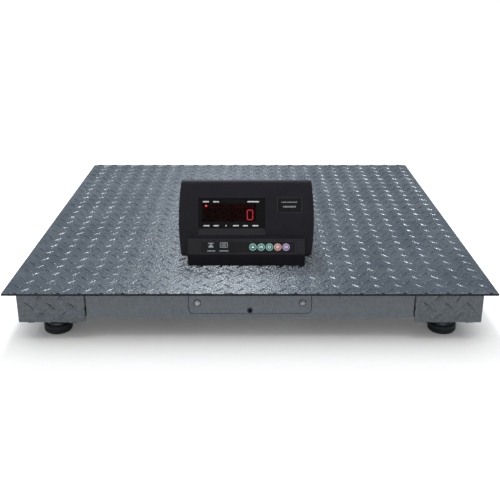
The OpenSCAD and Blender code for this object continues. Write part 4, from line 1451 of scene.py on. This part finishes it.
# %% The sky
sky = bpy.data.worlds.new("studio")
sky.use_nodes = True
scene.world = sky
tree = sky.node_tree
tree.nodes.clear()
sky_place = add_node(tree, "ShaderNodeTexCoord").outputs["Generated"]
upwards = add_node(tree, "ShaderNodeSeparateXYZ", {0: sky_place})
sky_ramp = add_node(tree, "ShaderNodeValToRGB", {"Fac": upwards.outputs["Z"]})
sky_levels = ((0.0, 0.55), (0.25, 0.62), (0.38, 0.04), (0.60, 0.28), (0.82, 1.3), (1.0, 2.0))
stops = sky_ramp.color_ramp.elements
while len(stops) < len(sky_levels):
    stops.new(1.0)
for stop, (height, level) in zip(stops, sky_levels):
    stop.position = height
    stop.color = (level * 0.93, level, level * 1.07, 1.0)
glow = add_node(tree, "ShaderNodeBackground", {"Color": sky_ramp.outputs["Color"], "Strength": 0.85})
backdrop = add_node(tree, "ShaderNodeBackground", {"Color": (1.0, 1.0, 1.0, 1.0), "Strength": 1.0})
seen = add_node(tree, "ShaderNodeLightPath").outputs["Is Camera Ray"]
chosen = add_node(tree, "ShaderNodeMixShader", {0: seen, 1: glow.outputs[0], 2: backdrop.outputs[0]})
add_node(tree, "ShaderNodeOutputWorld", {"Surface": chosen.outputs[0]})
print("sky: a gradient, and a white backdrop")


# %% Lamps
def soft_lamp(name, place, aim, width, height, watts, colour):
    """A rectangular area lamp at place, aimed at a point."""
    data = bpy.data.lights.new(name, "AREA")
    data.shape = "RECTANGLE"
    data.size = width
    data.size_y = height
    data.energy = watts
    data.color = colour
    lamp = bpy.data.objects.new(name, data)
    scene.collection.objects.link(lamp)
    lamp.location = place
    lamp.rotation_euler = (Vector(aim) - Vector(place)).to_track_quat("-Z", "Y").to_euler()
    lamp.visible_camera = False
    return lamp


def sun(name, azimuth, elevation, strength, spread_angle):
    """A far lamp: azimuth 0 is in front of the scale, 90 to its right."""
    data = bpy.data.lights.new(name, "SUN")
    data.energy = strength
    data.angle = math.radians(spread_angle)
    lamp = bpy.data.objects.new(name, data)
    scene.collection.objects.link(lamp)
    a, e = math.radians(azimuth), math.radians(elevation)
    towards = Vector((math.sin(a) * math.cos(e), -math.cos(a) * math.cos(e), math.sin(e)))
    lamp.rotation_euler = towards.to_track_quat("Z", "Y").to_euler()
    return lamp


sun("key", 0.0, 70.0, 0.62, 30.0)
sun("fill", -15.0, 38.0, 0.5, 60.0)
cool_white = (0.93, 1.0, 1.07)
soft_lamp("high_behind", (-0.24, 1.3, 2.3), (-0.05, -0.1, 0.12), 0.5, 0.35, 52.0, cool_white)
low_behind = soft_lamp(
    "low_behind", (-0.12, 2.0, 1.26), (-0.06, -0.40, 0.12), 0.50, 0.36, 4.6, cool_white)
print("lamps: two soft boxes and two far lamps")

# %% [markdown]
# The low lamp's reflection would stop at the indicator, which stands in its way, and the paint in
# front of it would lie in the dark. Cycles lets a lamp pass chosen objects: they are listed in a
# collection as excluded from its light and shadow. The other lamps and the sky still shade the
# paint there.

# %% What the low lamp passes
passed = bpy.data.collections.new("passed by the low lamp")
for piece in scene.objects:
    if piece.type != "MESH" or piece == floor:
        continue
    corners_of_piece = [piece.matrix_world @ Vector(corner) for corner in piece.bound_box]
    if min(corner.z for corner in corners_of_piece) > stand_z - 1 * mm and piece.name != "deck_tread":
        passed.objects.link(piece)
low_behind.light_linking.blocker_collection = passed
low_behind.light_linking.receiver_collection = passed
for member in passed.collection_objects:
    member.light_linking.link_state = "EXCLUDE"
